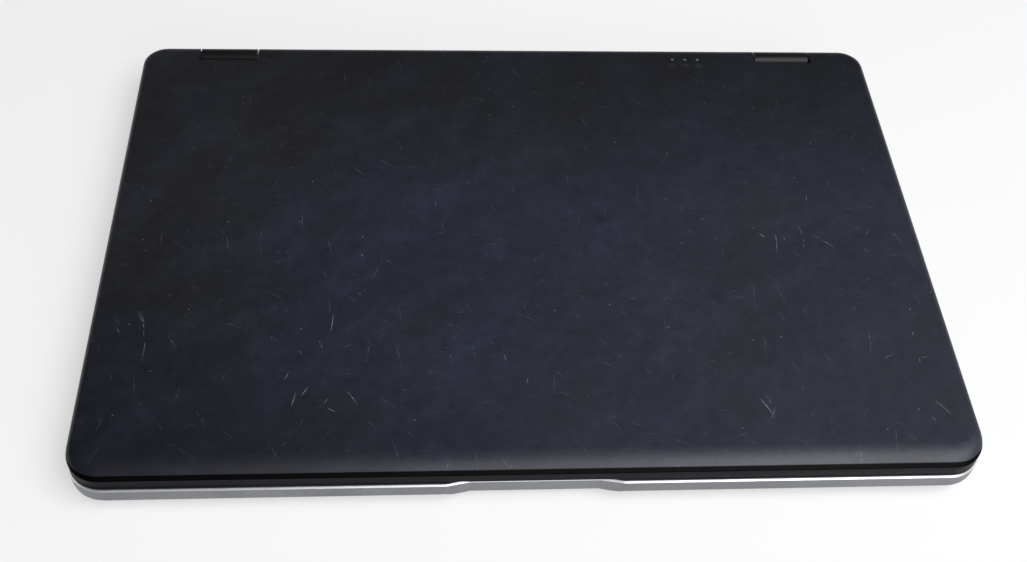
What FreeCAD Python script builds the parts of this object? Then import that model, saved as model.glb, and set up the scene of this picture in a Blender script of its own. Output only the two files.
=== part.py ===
import FreeCAD, Part
import math
import os

Vector = FreeCAD.Vector

# A slim fourteen-inch business laptop, closed and lying on its rubber feet, in millimetres.
# X runs to the right, Y to the rear and Z up, from the table under the middle of the case.

# Case
case_width = 338.0
case_depth = 230.5
base_height = 12.7
lid_height = 7.6
lid_gap = 0.6
foot_height = 1.3
front_corner_radius = 14.0
rear_corner_radius = 12.0

# Fits
fit_gap = 0.1
running_gap = 0.3
pin_clearance = 0.05
joint_tolerance = 1e-6

# Base frame: an upright band over a belly that curves in underneath
band_height = 5.6
bottom_cover_height = 1.9
belly_front_inset = 8.0
belly_side_inset = 2.2
belly_rear_inset = 1.0
belly_angle = 65.0
belly_steps = 8
frame_wall = 1.6
rim_width = 0.8
rim_chamfer = 0.5
ledge_width = 1.4
ledge_height = 1.0
boss_radius = 3.0
boss_height = 4.5
overcut = 1.0

# Finger scoop in the front of the base
scoop_mouth_width = 65.0
scoop_floor_width = 48.0
scoop_top_depth = 1.75
scoop_low_depth = 3.2
scoop_wall = 2.0

# Bottom cover and feet
floor_thickness = 1.4
cover_roll = 1.6
cover_lip = 3.0
vent_slot_width = 1.8
vent_slot_pitch = 4.0
grille_slot_count = 9
grille_slot_length = 9.0
grille_slot_width = 1.4
grille_pitch = 3.6
foot_length = 40.0
foot_width = 7.0
foot_seat = 0.4
side_foot_inset = 41.0
front_foot_inset = 17.0
rear_foot_inset = 11.0

# Deck
deck_thickness = 2.0
deck_window_radius = 2.0

# Lid
lid_front_setback = 1.2
lid_side_setback = 0.5
lid_rear_setback = 0.6
lid_front_radius = 13.0
lid_rear_radius = 11.0
front_roll_run = 9.0
roll_steps = 6
cover_wall = 1.2
bezel_height = 4.2
bezel_face = 1.2
bezel_wall = 1.6
parting_gap = 0.6
rim_wall = 1.2
lid_rib_count = 5
lid_rib_pitch = 40.0
lid_rib_width = 1.2
lid_rib_height = 0.8
bumper_radius = 2.4
bumper_clearance = 0.15
bumper_seat = 0.5
light_pitch = 6.0
light_hinge_gap = 47.0
light_inset = 4.0
light_radius = 0.6
light_bar_height = 1.0

# Display
screen_side_border = 13.8
screen_front_border = 23.0
screen_rear_border = 31.7
screen_margin = 0.6
screen_sheet = 0.3
panel_side_lap = 5.7
panel_front_lap = 5.0
panel_rear_lap = 13.0
panel_back_gap = 0.5
panel_emboss = 0.3
driver_board_depth = 8.0
camera_lens_radius = 1.8
camera_board_length = 48.0
camera_board_depth = 7.0
microphone_spacing = 24.0
microphone_radius = 0.6
antenna_length = 60.0
antenna_depth = 3.0
antenna_height = 3.0
antenna_start = 50.0
cable_width = 12.0
cable_thickness = 0.5
cable_bend = 10.0
cable_start_x = -30.0
cable_run = 30.0

# Hinges
hinge_inset = 39.0
hinge_radius = 4.4
hinge_cover_width = 25.4
hinge_wall = 0.9
notch_clearance = 0.8
notch_depth_gap = 1.6
notch_flare = 1.2
notch_wall = 1.0
trough_gap = 0.5
pin_radius = 2.0
sleeve_radius = 3.3
sleeve_length = 11.0
arm_thickness = 1.2
arm_length = 40.0
web_front = 2.8
web_rear = 1.0
bracket_foot_depth = 8.0
bracket_foot_thickness = 1.3

# Keyboard
key_pitch = 19.05
row_pitch = 18.6
function_pitch = 14.6
key_units = 15
function_keys = 16
key_gap = 3.1
key_corner = 1.5
key_taper = 0.45
key_edge = 0.35
key_wall = 1.0
key_drop = 0.1
key_skirt = 0.8
key_travel = 1.9
key_dish = 0.2
key_clearance = 0.35
keyboard_margin = 1.0
keyboard_flange = 2.0
keyboard_rear_inset = 21.25
lattice_thickness = 1.2
keyboard_rib = 1.6
plate_thickness = 0.6
stick_units = 6.75
stick_radius = 2.6
stick_stem_radius = 1.2
stick_height = 1.4
stick_dome = 0.5
stick_waist = 0.25

# Touchpad and its buttons
pad_width = 80.0
pad_depth = 43.0
pad_drop = 0.4
pad_thickness = 1.5
click_depth = 11.0
click_gap = 1.6
click_drop = 0.15

# Buttons behind the keyboard
strip_button_depth = 5.0
strip_button_travel = 0.5
power_button_width = 14.0
power_button_inset = 65.0
sound_button_width = 11.0
sound_button_pitch = 13.5
sound_button_gap = 31.0

# Wireless switch in the right wall
switch_inset = 91.25
switch_length = 6.0
switch_height = 2.6
switch_travel = 3.0
switch_plate = 1.2
switch_recess = 0.4

# Sockets, each with the size of its mouth and its distance along the wall: side sockets from the
# front, rear sockets from the side that is nearer
socket_setback = 0.2
socket_wall = 0.5
usb_mouth_width = 12.5
usb_mouth_height = 5.1
usb_depth = 14.0
usb_tongue_width = 11.0
usb_tongue_height = 1.8
usb_tongue_gap = 0.7
usb_left_inset = 83.25
usb_right_inset = 62.25
usb_rear_inset = 135.0
hdmi_mouth_width = 14.2
hdmi_mouth_height = 4.6
hdmi_depth = 11.5
hdmi_tongue_width = 11.8
hdmi_tongue_height = 1.2
hdmi_inset = 107.0
network_mouth_width = 11.8
network_mouth_height = 7.4
network_depth = 14.5
network_inset = 79.0
card_mouth_width = 24.4
card_mouth_height = 2.4
card_depth = 25.0
card_inset = 35.25
audio_bore_radius = 1.8
audio_body_width = 8.0
audio_body_height = 6.0
audio_depth = 14.0
audio_inset = 77.75
power_bore_radius = 3.6
power_pin_radius = 0.5
power_body_width = 10.4
power_body_height = 8.4
power_depth = 13.0
power_inset = 81.0
lock_slot_length = 7.0
lock_slot_height = 3.0
lock_slot_inset = 29.25

# Cooling
fan_radius = 22.5
fan_wall = 1.0
fan_margin = 4.0
fan_blades = 19
fan_blade_thickness = 0.5
fan_blade_lean = 25.0
fan_hub_radius = 9.0
fan_axle_radius = 1.0
fan_inlet_radius = 17.0
fan_gap = 3.0
fin_width = 12.0
fin_length = 44.0
fin_thickness = 0.6
fin_pitch = 2.2
fin_rear_inset = 27.25
pipe_width = 8.0
pipe_bend = 9.0

# Boards and stores
board_thickness = 1.0
board_lift = 0.9
board_boss_radius = 2.5
board_left_inset = 85.0
board_right_inset = 21.0
board_front_gap = 16.5
board_rear_gap = 2.0
board_boss_inset = 5.0
processor_size = 34.0
processor_height = 1.6
processor_left_inset = 38.0
processor_rear_inset = 52.5
cold_plate = 0.3
memory_length = 68.0
memory_depth = 31.0
memory_chips = 4
memory_left_inset = 104.0
memory_rear_inset = 60.5
drive_length = 51.0
drive_depth = 30.0
drive_chips = 3
drive_left_inset = 172.0
drive_rear_inset = 70.5
radio_length = 30.0
radio_depth = 26.6
radio_chips = 2
radio_left_inset = 172.0
radio_rear_inset = 24.5
card_gap = 0.4
chip_height = 0.9
chip_margin = 3.0
edge_strip = 3.0
cell_radius = 10.0
cell_height = 3.2
cell_left_inset = 60.0
cell_front_inset = 15.0
battery_side_gap = 51.0
battery_height = 6.0
battery_front_gap = 0.8
battery_rear_gap = 8.0
battery_cells = 3
battery_groove = 1.5
speaker_length = 40.0
speaker_width = 18.0
speaker_height = 4.6
speaker_gap = 3.0
speaker_cone_radius = 5.0

# Screws
screw_head_radius = 2.4
screw_shank_radius = 1.2
screw_head_height = 1.0
screw_length = 5.0
screw_drive_radius = 0.9
screw_drive_depth = 0.5
screw_sunk = 0.15
screw_edge_gap = 4.2
screw_end_inset = 15.25
front_screw_x = 75.0
rear_screw_inset = 67.0
arm_screw_radius = 1.7
arm_screw_pitch = 4.6
arm_screw_inset = 6.8
arm_screw_bite = 0.7

# Heights and places that follow from the sizes
half_width = case_width / 2
half_depth = case_depth / 2
z_base = foot_height
z_deck = z_base + base_height
z_belly = z_base + bottom_cover_height
z_band = z_deck - band_height
z_under = z_deck - deck_thickness
z_ledge = z_under - ledge_height
z_floor = z_base + floor_thickness
z_lid = z_deck + lid_gap
z_top = z_lid + lid_height
z_face = z_lid + bezel_face
z_parting = z_lid + bezel_height
z_lip = z_parting + parting_gap
z_ceiling = z_top - cover_wall

lid_half_width = half_width - lid_side_setback
y_lid_front = -half_depth + lid_front_setback
y_lid_rear = half_depth - lid_rear_setback
y_hinge = y_lid_rear - hinge_radius
z_hinge = z_top - hinge_radius
y_barrel = y_hinge - hinge_radius - notch_depth_gap
rim_inset = bezel_wall + fit_gap
hinge_x = half_width - hinge_inset
side_roll_radius = z_top - z_lip
front_roll_radius = (front_roll_run ** 2 + side_roll_radius ** 2) / (2 * side_roll_radius)
x_notch = hinge_x - hinge_cover_width / 2 - notch_clearance
x_sleeve_out = x_notch - notch_wall - fit_gap
x_sleeve_in = x_sleeve_out - sleeve_length
z_arm = z_ceiling - fit_gap
z_panel_back = z_arm - arm_thickness - panel_back_gap
light_x = hinge_x - light_hinge_gap
bumper_height = lid_gap - bumper_clearance
z_pocket = z_hinge - hinge_radius - trough_gap

keyboard_width = key_units * key_pitch
keyboard_depth = function_pitch + 5 * row_pitch
y_keyboard = half_depth - keyboard_rear_inset
y_keyboard_front = y_keyboard - keyboard_depth
z_lattice = z_under
z_key_top = z_deck - key_drop
z_key_low = z_lattice - key_skirt
z_plate = z_key_low - key_travel - running_gap
z_plate_low = z_plate - plate_thickness
y_keyboard_edge = y_keyboard + keyboard_margin + keyboard_flange
stick_x = -keyboard_width / 2 + stick_units * key_pitch
stick_y = y_keyboard_front + 2 * row_pitch
power_button_x = half_width - power_button_inset
sound_button_x = power_button_x - sound_button_gap - 2 * sound_button_pitch
switch_y = -half_depth + switch_inset

y_front_screw = -half_depth + belly_front_inset + cover_roll + screw_edge_gap
y_rear_screw = half_depth - belly_rear_inset - cover_roll - screw_edge_gap
x_side_screw = half_width - belly_side_inset - cover_roll - screw_edge_gap
x_rear_screw = half_width - rear_screw_inset

z_socket = (z_belly + z_under) / 2
z_inside = z_belly + fit_gap
x_battery = half_width - battery_side_gap
y_battery_front = y_front_screw + boss_radius + battery_front_gap
y_battery_rear = y_keyboard_front - keyboard_margin - keyboard_flange - battery_rear_gap
z_board = z_floor + board_lift
z_board_top = z_board + board_thickness
z_card_top = z_plate_low - card_gap
x_board_left = -half_width + board_left_inset
x_board_right = half_width - board_right_inset
y_board_front = y_battery_rear + board_front_gap
y_board_rear = half_depth - max(network_depth, hdmi_depth, usb_depth, power_depth) - board_rear_gap
processor_x = x_board_left + processor_left_inset
processor_y = y_board_rear - processor_rear_inset
cell_x = x_board_left + cell_left_inset
cell_y = y_board_front + cell_front_inset
x_fin_left = -half_width + belly_side_inset + frame_wall + running_gap
x_fin_right = x_fin_left + fin_width
y_fin_rear = half_depth - fin_rear_inset
y_fin_front = y_fin_rear - fin_length
x_fan = x_fin_right + fan_gap + fan_margin + fan_radius
y_fan = (y_fin_front + y_fin_rear) / 2 - fan_margin
z_fan = z_inside
z_fan_top = z_plate_low - fit_gap
z_pipe = z_board_top + processor_height + cold_plate
z_pipe_top = z_plate_low - fit_gap
x_speaker = x_battery + speaker_gap
y_speaker = y_battery_rear - speaker_length


def box(x_low, x_high, y_low, y_high, z_low, z_high):
    corner = Vector(x_low, y_low, z_low)
    return Part.makeBox(x_high - x_low, y_high - y_low, z_high - z_low, corner)


def upright(x, y, z_low, z_high, radius):
    return Part.makeCylinder(radius, z_high - z_low, Vector(x, y, z_low))


def crosswise(x_low, x_high, y, z, radius):
    return Part.makeCylinder(radius, x_high - x_low, Vector(x_low, y, z), Vector(1, 0, 0))


def rounded_wire(x_low, x_high, y_low, y_high, z, front_radius, rear_radius):
    corners = (
        (x_high - front_radius, y_low + front_radius, front_radius, -90),
        (x_high - rear_radius, y_high - rear_radius, rear_radius, 0),
        (x_low + rear_radius, y_high - rear_radius, rear_radius, 90),
        (x_low + front_radius, y_low + front_radius, front_radius, 180),
    )
    arcs = []
    for x, y, radius, start in corners:
        points = []
        for turn in (0, 45, 90):
            angle = math.radians(start + turn)
            points.append(Vector(x + radius * math.cos(angle), y + radius * math.sin(angle), z))
        arcs.append(points)
    edges = []
    for index, points in enumerate(arcs):
        edges.append(Part.Arc(*points).toShape())
        following = arcs[(index + 1) % len(arcs)][0]
        if points[2].distanceToPoint(following) > joint_tolerance:
            edges.append(Part.makeLine(points[2], following))
    return Part.Wire(edges)


def raised(wire, height):
    return Part.Face(wire).extrude(Vector(0, 0, height))


def rounded_slab(x_low, x_high, y_low, y_high, z_low, z_high, radius):
    return raised(rounded_wire(x_low, x_high, y_low, y_high, z_low, radius, radius), z_high - z_low)


def centred_slab(x, y, length, depth, z_low, z_high, radius):
    half_length = length / 2
    half = depth / 2
    return rounded_slab(x - half_length, x + half_length, y - half, y + half, z_low, z_high, radius)


def polygon_wire(points, z):
    corners = [Vector(x, y, z) for x, y in points]
    return Part.makePolygon(corners + corners[:1])


def joined(*shapes):
    return shapes[0].multiFuse(list(shapes[1:])).removeSplitter()


def mirrored(shape):
    return shape.mirror(Vector(0, 0, 0), Vector(1, 0, 0))


def both_sides(shape):
    return [shape, mirrored(shape)]


def bent_strip(points, bend, width, z_low, height):
    # A flat strip along straight runs that meet at right angles, with rounded bends.
    edges = []
    start = Vector(points[0][0], points[0][1], z_low)
    for index in range(1, len(points) - 1):
        corner = Vector(points[index][0], points[index][1], z_low)
        ahead = Vector(points[index + 1][0], points[index + 1][1], z_low)
        back_way = (start - corner).normalize()
        next_way = (ahead - corner).normalize()
        bend_start = corner + back_way * bend
        bend_end = corner + next_way * bend
        centre = corner + (back_way + next_way) * bend
        outward = (corner - centre).normalize()
        edges.append(Part.makeLine(start, bend_start))
        edges.append(Part.Arc(bend_start, centre + outward * bend, bend_end).toShape())
        start = bend_end
    edges.append(Part.makeLine(start, Vector(points[-1][0], points[-1][1], z_low)))
    path = Part.Wire(edges)
    first = path.Edges[0]
    way = first.tangentAt(first.FirstParameter)
    side = Vector(-way.y, way.x, 0) * (width / 2)
    rise = Vector(0, 0, height)
    root = Vector(points[0][0], points[0][1], z_low)
    corners = [root - side, root + side, root + side + rise, root - side + rise]
    return path.makePipeShell([Part.makePolygon(corners + corners[:1])], True, True)


# Base

def base_wire(front, side, rear, z):
    front_radius = front_corner_radius - (front + side) / 2
    rear_radius = rear_corner_radius - (rear + side) / 2
    x = half_width - side
    return rounded_wire(-x, x, -half_depth + front, half_depth - rear, z, front_radius, rear_radius)


def base_slab(inset, z_low, z_high):
    return raised(base_wire(inset, inset, inset, z_low), z_high - z_low)


def belly(offset):
    wires = []
    full_turn = math.radians(belly_angle)
    for step in range(belly_steps + 1):
        turn = full_turn * step / belly_steps
        inset = (1 - math.cos(turn)) / (1 - math.cos(full_turn))
        drop = math.sin(turn) / math.sin(full_turn)
        front = offset + belly_front_inset * inset
        side = offset + belly_side_inset * inset
        rear = offset + belly_rear_inset * inset
        wires.append(base_wire(front, side, rear, z_band - drop * (z_band - z_belly)))
    return Part.makeLoft(wires, True, False)


def scoop_wire(depth, inset, z):
    # A trapezium whose slanted sides run on out of the front.
    floor = scoop_floor_width / 2
    flare = (scoop_mouth_width - scoop_floor_width) / 2 / depth
    front = -half_depth + inset
    reach = floor + flare * (depth + overcut)
    outside = front - overcut
    points = ((-reach, outside), (reach, outside), (floor, front + depth), (-floor, front + depth))
    return polygon_wire(points, z)


def finger_scoop():
    low = scoop_wire(scoop_low_depth, 0, z_belly)
    high = scoop_wire(scoop_top_depth, 0, z_deck)
    bevel_low = scoop_wire(scoop_top_depth, 0, z_deck - rim_chamfer)
    bevel_high = scoop_wire(scoop_top_depth, rim_chamfer, z_deck)
    return [Part.makeLoft([low, high], True, True), Part.makeLoft([bevel_low, bevel_high], True, True)]


def inside_rim(inset, z_low, z_high):
    # The room within the rim, which steps back round the finger scoop.
    recess = raised(scoop_wire(scoop_top_depth, inset, z_low), z_high - z_low)
    return base_slab(inset, z_low, z_high).cut(recess)


def screw_places():
    # Each base screw with the way to the wall that its boss grows from.
    places = []
    y_end = half_depth - screw_end_inset
    for sign in (-1, 1):
        places.append((sign * x_side_screw, -y_end, sign, 0))
        places.append((sign * x_side_screw, y_end, sign, 0))
        places.append((sign * front_screw_x, y_front_screw, 0, -1))
        places.append((sign * x_rear_screw, y_rear_screw, 0, 1))
    return places


def screw_boss(x, y, way_x, way_y):
    post = upright(x, y, z_belly, z_belly + boss_height, boss_radius)
    reach = screw_edge_gap + cover_roll + belly_front_inset
    length = abs(way_x) * reach + 2 * abs(way_y) * boss_radius
    depth = abs(way_y) * reach + 2 * abs(way_x) * boss_radius
    x_low = x + way_x * reach / 2 - length / 2
    y_low = y + way_y * reach / 2 - depth / 2
    web = box(x_low, x_low + length, y_low, y_low + depth, z_belly, z_belly + boss_height)
    return joined(post, web)


def hinge_trough():
    return crosswise(-half_width, half_width, y_hinge, z_hinge, hinge_radius + trough_gap)


def hinge_pockets():
    # Seats for the two hinge covers, with a slot under each for the bracket's web.
    width = hinge_cover_width / 2 + fit_gap
    seat = box(hinge_x - width, hinge_x + width, y_hinge - hinge_radius - fit_gap, half_depth + overcut,
               z_pocket, z_top)
    inner = hinge_cover_width / 2 - hinge_wall
    slot = box(hinge_x - inner, hinge_x + inner, y_hinge - web_front - running_gap,
               y_hinge + web_rear + running_gap, z_floor, z_top)
    return both_sides(seat) + both_sides(slot)


def placed(shape, side, along, z):
    # Turns a socket, made with its mouth facing the rear, to its own wall.
    turned = shape.copy()
    if side == "right":
        turned.rotate(Vector(0, 0, 0), Vector(0, 0, 1), -90)
        turned.translate(Vector(half_width - socket_setback, along, z))
    elif side == "left":
        turned.rotate(Vector(0, 0, 0), Vector(0, 0, 1), 90)
        turned.translate(Vector(-half_width + socket_setback, along, z))
    else:
        turned.translate(Vector(along, half_depth - socket_setback, z))
    return turned


def socket_window(width, height, depth, side, along):
    half = width / 2 + fit_gap
    rise = height / 2 + fit_gap
    window = box(-half, half, -depth - fit_gap, socket_setback + overcut, -rise, rise)
    return placed(window, side, along, z_socket)


def socket_places():
    # The wall each socket opens in and its place along that wall.
    places = {
        "usb_left": ("left", -half_depth + usb_left_inset),
        "usb_right": ("right", -half_depth + usb_right_inset),
        "usb_rear": ("rear", -half_width + usb_rear_inset),
        "hdmi": ("rear", -half_width + hdmi_inset),
        "network": ("rear", -half_width + network_inset),
        "card": ("right", -half_depth + card_inset),
        "audio": ("right", -half_depth + audio_inset),
        "power": ("rear", half_width - power_inset),
    }
    return places


def socket_windows():
    shell = 2 * socket_wall
    usb = (usb_mouth_width + shell, usb_mouth_height + shell, usb_depth)
    sizes = {
        "usb_left": usb,
        "usb_right": usb,
        "usb_rear": usb,
        "hdmi": (hdmi_mouth_width + shell, hdmi_mouth_height + shell, hdmi_depth),
        "network": (network_mouth_width + shell, network_mouth_height + shell, network_depth),
        "card": (card_mouth_width + shell, card_mouth_height + shell, card_depth),
        "audio": (audio_body_width, audio_body_height, audio_depth),
        "power": (power_body_width, power_body_height, power_depth),
    }
    return [socket_window(*sizes[name], *place) for name, place in socket_places().items()]


def switch_slot():
    reach = (switch_length + switch_travel) / 2 + running_gap
    middle = switch_y + switch_travel / 2
    rise = switch_height / 2 + running_gap
    slot = box(half_width - 2 * frame_wall, half_width + overcut, middle - reach, middle + reach,
               z_socket - rise, z_socket + rise)
    return slot


def exhaust_slots():
    slots = []
    y = y_fin_front + vent_slot_pitch / 2
    while y < y_fin_rear - vent_slot_width:
        slots.append(box(-half_width - overcut, x_fin_left, y, y + vent_slot_width, z_fan + fan_wall,
                         z_fan_top - fan_wall))
        y += vent_slot_pitch
    return slots


def make_base_frame():
    top = Part.makeLoft([base_wire(0, 0, 0, z_deck - rim_chamfer),
                         base_wire(rim_chamfer, rim_chamfer, rim_chamfer, z_deck)], True, True)
    outside = joined(belly(0), base_slab(0, z_band, z_deck - rim_chamfer), top)
    cavity = joined(belly(frame_wall), base_slab(frame_wall, z_band, z_ledge))
    half = scoop_mouth_width / 2 + scoop_wall
    backing = box(-half, half, -half_depth, -half_depth + scoop_low_depth + scoop_wall, z_belly, z_ledge)
    cavity = cavity.cut(backing)
    ring = outside.cut([cavity, inside_rim(rim_width + ledge_width, z_ledge, z_under),
                        inside_rim(rim_width, z_under, z_deck)])
    bosses = [screw_boss(*place).common(outside) for place in screw_places()]
    ring = joined(ring, *bosses)
    holes = []
    for x, y, *_ in screw_places():
        holes.append(upright(x, y, z_belly, z_belly + screw_length, screw_shank_radius))
    lock_y = half_depth - lock_slot_inset
    lock_half = lock_slot_length / 2
    lock = box(half_width - 2 * frame_wall, half_width + overcut, lock_y - lock_half, lock_y + lock_half,
               z_socket - lock_slot_height / 2, z_socket + lock_slot_height / 2)
    cuts = finger_scoop() + holes + [hinge_trough(), switch_slot(), lock]
    return ring.cut(cuts + hinge_pockets() + socket_windows() + exhaust_slots())


def foot_places():
    x = half_width - side_foot_inset
    front = -half_depth + front_foot_inset
    rear = half_depth - rear_foot_inset
    return [(-x, front), (x, front), (-x, rear), (x, rear)]


def board_boss_places():
    right = x_board_right - board_boss_inset
    left = x_board_left + board_boss_inset
    front = y_board_front + board_boss_inset
    rear = y_board_rear - board_boss_inset
    return [(left, front), (right, front), (left, rear), (right, rear)]


def fan_vents():
    # Slots through the floor under the fan, within a circle the size of its blades.
    vents = []
    count = int(2 * fan_inlet_radius / vent_slot_pitch)
    first = x_fan - (count - 1) * vent_slot_pitch / 2
    for index in range(count):
        x = first + index * vent_slot_pitch
        reach = 2 * math.sqrt(fan_radius ** 2 - (x - x_fan) ** 2)
        vents.append(centred_slab(x, y_fan, vent_slot_width, reach, z_base, z_floor, vent_slot_width / 2))
    return vents


def speaker_grilles():
    # A row of short slots through the floor under each speaker.
    slots = []
    x = x_speaker + speaker_width / 2
    first = y_speaker + (speaker_length - (grille_slot_count - 1) * grille_pitch) / 2
    for index in range(grille_slot_count):
        y = first + index * grille_pitch
        slot = centred_slab(x, y, grille_slot_length, grille_slot_width, z_base, z_floor,
                            grille_slot_width / 2)
        slots += both_sides(slot)
    return slots


def make_bottom_cover():
    top = base_wire(belly_front_inset + fit_gap, belly_side_inset + fit_gap, belly_rear_inset + fit_gap,
                    z_belly)
    roll = fit_gap + cover_roll
    low = base_wire(belly_front_inset + roll, belly_side_inset + roll, belly_rear_inset + roll, z_base)
    plate = Part.makeLoft([low, top], True, True)
    lip = fit_gap + cover_lip
    recess = base_wire(belly_front_inset + lip, belly_side_inset + lip, belly_rear_inset + lip, z_floor)
    plate = plate.cut(raised(recess, z_belly - z_floor))
    pads = []
    cuts = []
    for x, y, *_ in screw_places():
        pads.append(upright(x, y, z_floor, z_belly, boss_radius))
        cuts.append(upright(x, y, z_base, z_belly, screw_shank_radius + fit_gap))
        cuts.append(upright(x, y, z_base, z_base + screw_sunk + screw_head_height,
                            screw_head_radius + fit_gap))
    for x, y in board_boss_places():
        pads.append(upright(x, y, z_floor, z_board, board_boss_radius))
    for x, y in foot_places():
        cuts.append(centred_slab(x, y, foot_length, foot_width, z_base, z_base + foot_seat, foot_width / 2))
    cuts += fan_vents() + speaker_grilles() + socket_windows()
    return joined(plate, *pads).cut(cuts)


def make_rubber_feet():
    feet = []
    for x, y in foot_places():
        feet.append(centred_slab(x, y, foot_length, foot_width, 0, z_base + foot_seat, foot_width / 2))
    return Part.makeCompound(feet)


def make_base_screws():
    screws = []
    z = z_base + screw_sunk
    for x, y, *_ in screw_places():
        head = upright(x, y, z, z + screw_head_height, screw_head_radius)
        shank = upright(x, y, z, z_belly + screw_length, screw_shank_radius)
        drive = upright(x, y, z, z + screw_drive_depth, screw_drive_radius)
        screws.append(joined(head, shank).cut(drive))
    return Part.makeCompound(screws)


# Deck, keyboard and buttons

def pad_places():
    # Front edges of the lower buttons, the touchpad and the upper buttons, going back.
    upper = y_keyboard_front - keyboard_margin - keyboard_flange - click_gap - click_depth
    pad = upper - click_gap - pad_depth
    lower = pad - click_gap - click_depth
    return lower, pad, upper


def click_bounds():
    lower, _, upper = pad_places()
    left = stick_x - pad_width / 2
    middle = stick_x
    right = stick_x + pad_width / 2
    half = running_gap / 2
    bounds = {
        "touchpad_left_button": (left, middle - half, lower),
        "touchpad_right_button": (middle + half, right, lower),
        "stick_left_button": (left, middle - half, upper),
        "stick_right_button": (middle + half, right, upper),
    }
    return bounds


def strip_buttons():
    buttons = {"power_button": (power_button_x, power_button_width)}
    names = ("mute_button", "volume_down_button", "volume_up_button")
    for index, name in enumerate(names):
        buttons[name] = (sound_button_x + index * sound_button_pitch, sound_button_width)
    return buttons


def strip_y():
    return (y_keyboard_edge + y_hinge - hinge_radius - trough_gap) / 2


def keyboard_slab(grow, z_low, z_high):
    x = keyboard_width / 2 + grow
    return rounded_slab(-x, x, y_keyboard_front - grow, y_keyboard + grow, z_low, z_high, deck_window_radius)


def make_palm_rest():
    deck = inside_rim(rim_width + fit_gap, z_under, z_deck)
    cuts = [keyboard_slab(keyboard_margin, z_under, z_deck), hinge_trough()]
    cuts += hinge_pockets() + socket_windows()
    lower, pad, upper = pad_places()
    side = pad_width / 2 + running_gap
    for front, depth in ((lower, click_depth), (pad, pad_depth), (upper, click_depth)):
        cuts.append(rounded_slab(stick_x - side, stick_x + side, front - running_gap,
                                 front + depth + running_gap, z_under, z_deck, deck_window_radius))
    for x, width in strip_buttons().values():
        depth = strip_button_depth + 2 * running_gap
        cuts.append(centred_slab(x, strip_y(), width + 2 * running_gap, depth, z_under, z_deck, depth / 2))
    return deck.cut(cuts)


def make_strip_button(x, width):
    z_low = z_under - strip_button_travel + running_gap
    return centred_slab(x, strip_y(), width, strip_button_depth, z_low, z_deck - click_drop,
                        strip_button_depth / 2)


def make_click_button(left, right, front):
    return rounded_slab(left, right, front, front + click_depth, z_under, z_deck - click_drop,
                        deck_window_radius - running_gap)


def make_touchpad():
    front = pad_places()[1]
    z_high = z_deck - pad_drop
    return centred_slab(stick_x, front + pad_depth / 2, pad_width, pad_depth, z_high - pad_thickness,
                        z_high, deck_window_radius - running_gap)


def row_of_keys(widths, x_start, y_low, y_high):
    # The middle of each key and its share of the keyboard, from left to right.
    places = []
    x = x_start
    for width in widths:
        length = width * key_pitch
        places.append((x + length / 2, (y_low + y_high) / 2, length, y_high - y_low))
        x += length
    return places


def key_places():
    left = -keyboard_width / 2
    front = y_keyboard_front
    rows = {}
    function_unit = key_units / function_keys
    rows["keys_function_row"] = row_of_keys([function_unit] * function_keys, left, front + 5 * row_pitch,
                                            y_keyboard)
    layouts = (
        ("keys_number_row", [1] * 13 + [2]),
        ("keys_upper_letter_row", [1.5] + [1] * 12 + [1.5]),
        ("keys_home_row", [1.75] + [1] * 11 + [2.25]),
        ("keys_lower_letter_row", [2.25] + [1] * 10 + [2.75]),
    )
    for index, (name, widths) in enumerate(layouts):
        y = front + (4 - index) * row_pitch
        rows[name] = row_of_keys(widths, left, y, y + row_pitch)
    bottom = row_of_keys([1.5, 1, 1, 1.25, 5.25, 1, 1], left, front, front + row_pitch)
    rows["space_bar"] = [bottom[4]]
    rows["keys_modifier_row"] = bottom[:4] + bottom[5:]
    arrows_left = left + 12 * key_pitch
    half = front + row_pitch / 2
    shared = key_gap / 4
    rows["keys_arrow_cluster"] = (row_of_keys([1, 1, 1], arrows_left, front, half + shared)
                                  + row_of_keys([1, 1, 1], arrows_left, half - shared, front + row_pitch))
    return rows


def key_wire(x, y, length, depth, grow, z):
    half = (length - key_gap) / 2 + grow
    reach = (depth - key_gap) / 2 + grow
    return rounded_wire(x - half, x + half, y - reach, y + reach, z, key_corner, key_corner)


def keycap(length, depth):
    # A hollow cap with a bevelled edge and a top that dips across its width.
    profile = ((0, z_key_low), (-key_taper, z_key_top - key_edge), (-key_taper - key_edge, z_key_top))
    outside = [key_wire(0, 0, length, depth, grow, z) for grow, z in profile]
    profile = ((-key_wall, z_key_low), (-key_wall - key_taper, z_key_top - key_dish - key_wall))
    inside = [key_wire(0, 0, length, depth, grow, z) for grow, z in profile]
    half = (length - key_gap) / 2 - key_taper - key_edge
    dish_radius = (half ** 2 + key_dish ** 2) / (2 * key_dish)
    dish_middle = Vector(0, -depth / 2, z_key_top - key_dish + dish_radius)
    dish = Part.makeCylinder(dish_radius, depth, dish_middle, Vector(0, 1, 0))
    return Part.makeLoft(outside, True, True).cut([Part.makeLoft(inside, True, True), dish])


def make_key_row(places):
    # Keys of one size are copies of one cap, and those round the pointing stick are cut to clear it.
    clear = upright(stick_x, stick_y, z_plate, z_deck, stick_radius + 2 * running_gap)
    caps = {}
    keys = []
    for x, y, length, depth in places:
        if (length, depth) not in caps:
            caps[length, depth] = keycap(length, depth)
        key = caps[length, depth].translated(Vector(x, y, 0))
        near_x = abs(x - stick_x) < length / 2 + stick_radius
        near_y = abs(y - stick_y) < depth / 2 + stick_radius
        if near_x and near_y:
            key = key.cut(clear)
        keys.append(key)
    return Part.makeCompound(keys)


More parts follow.
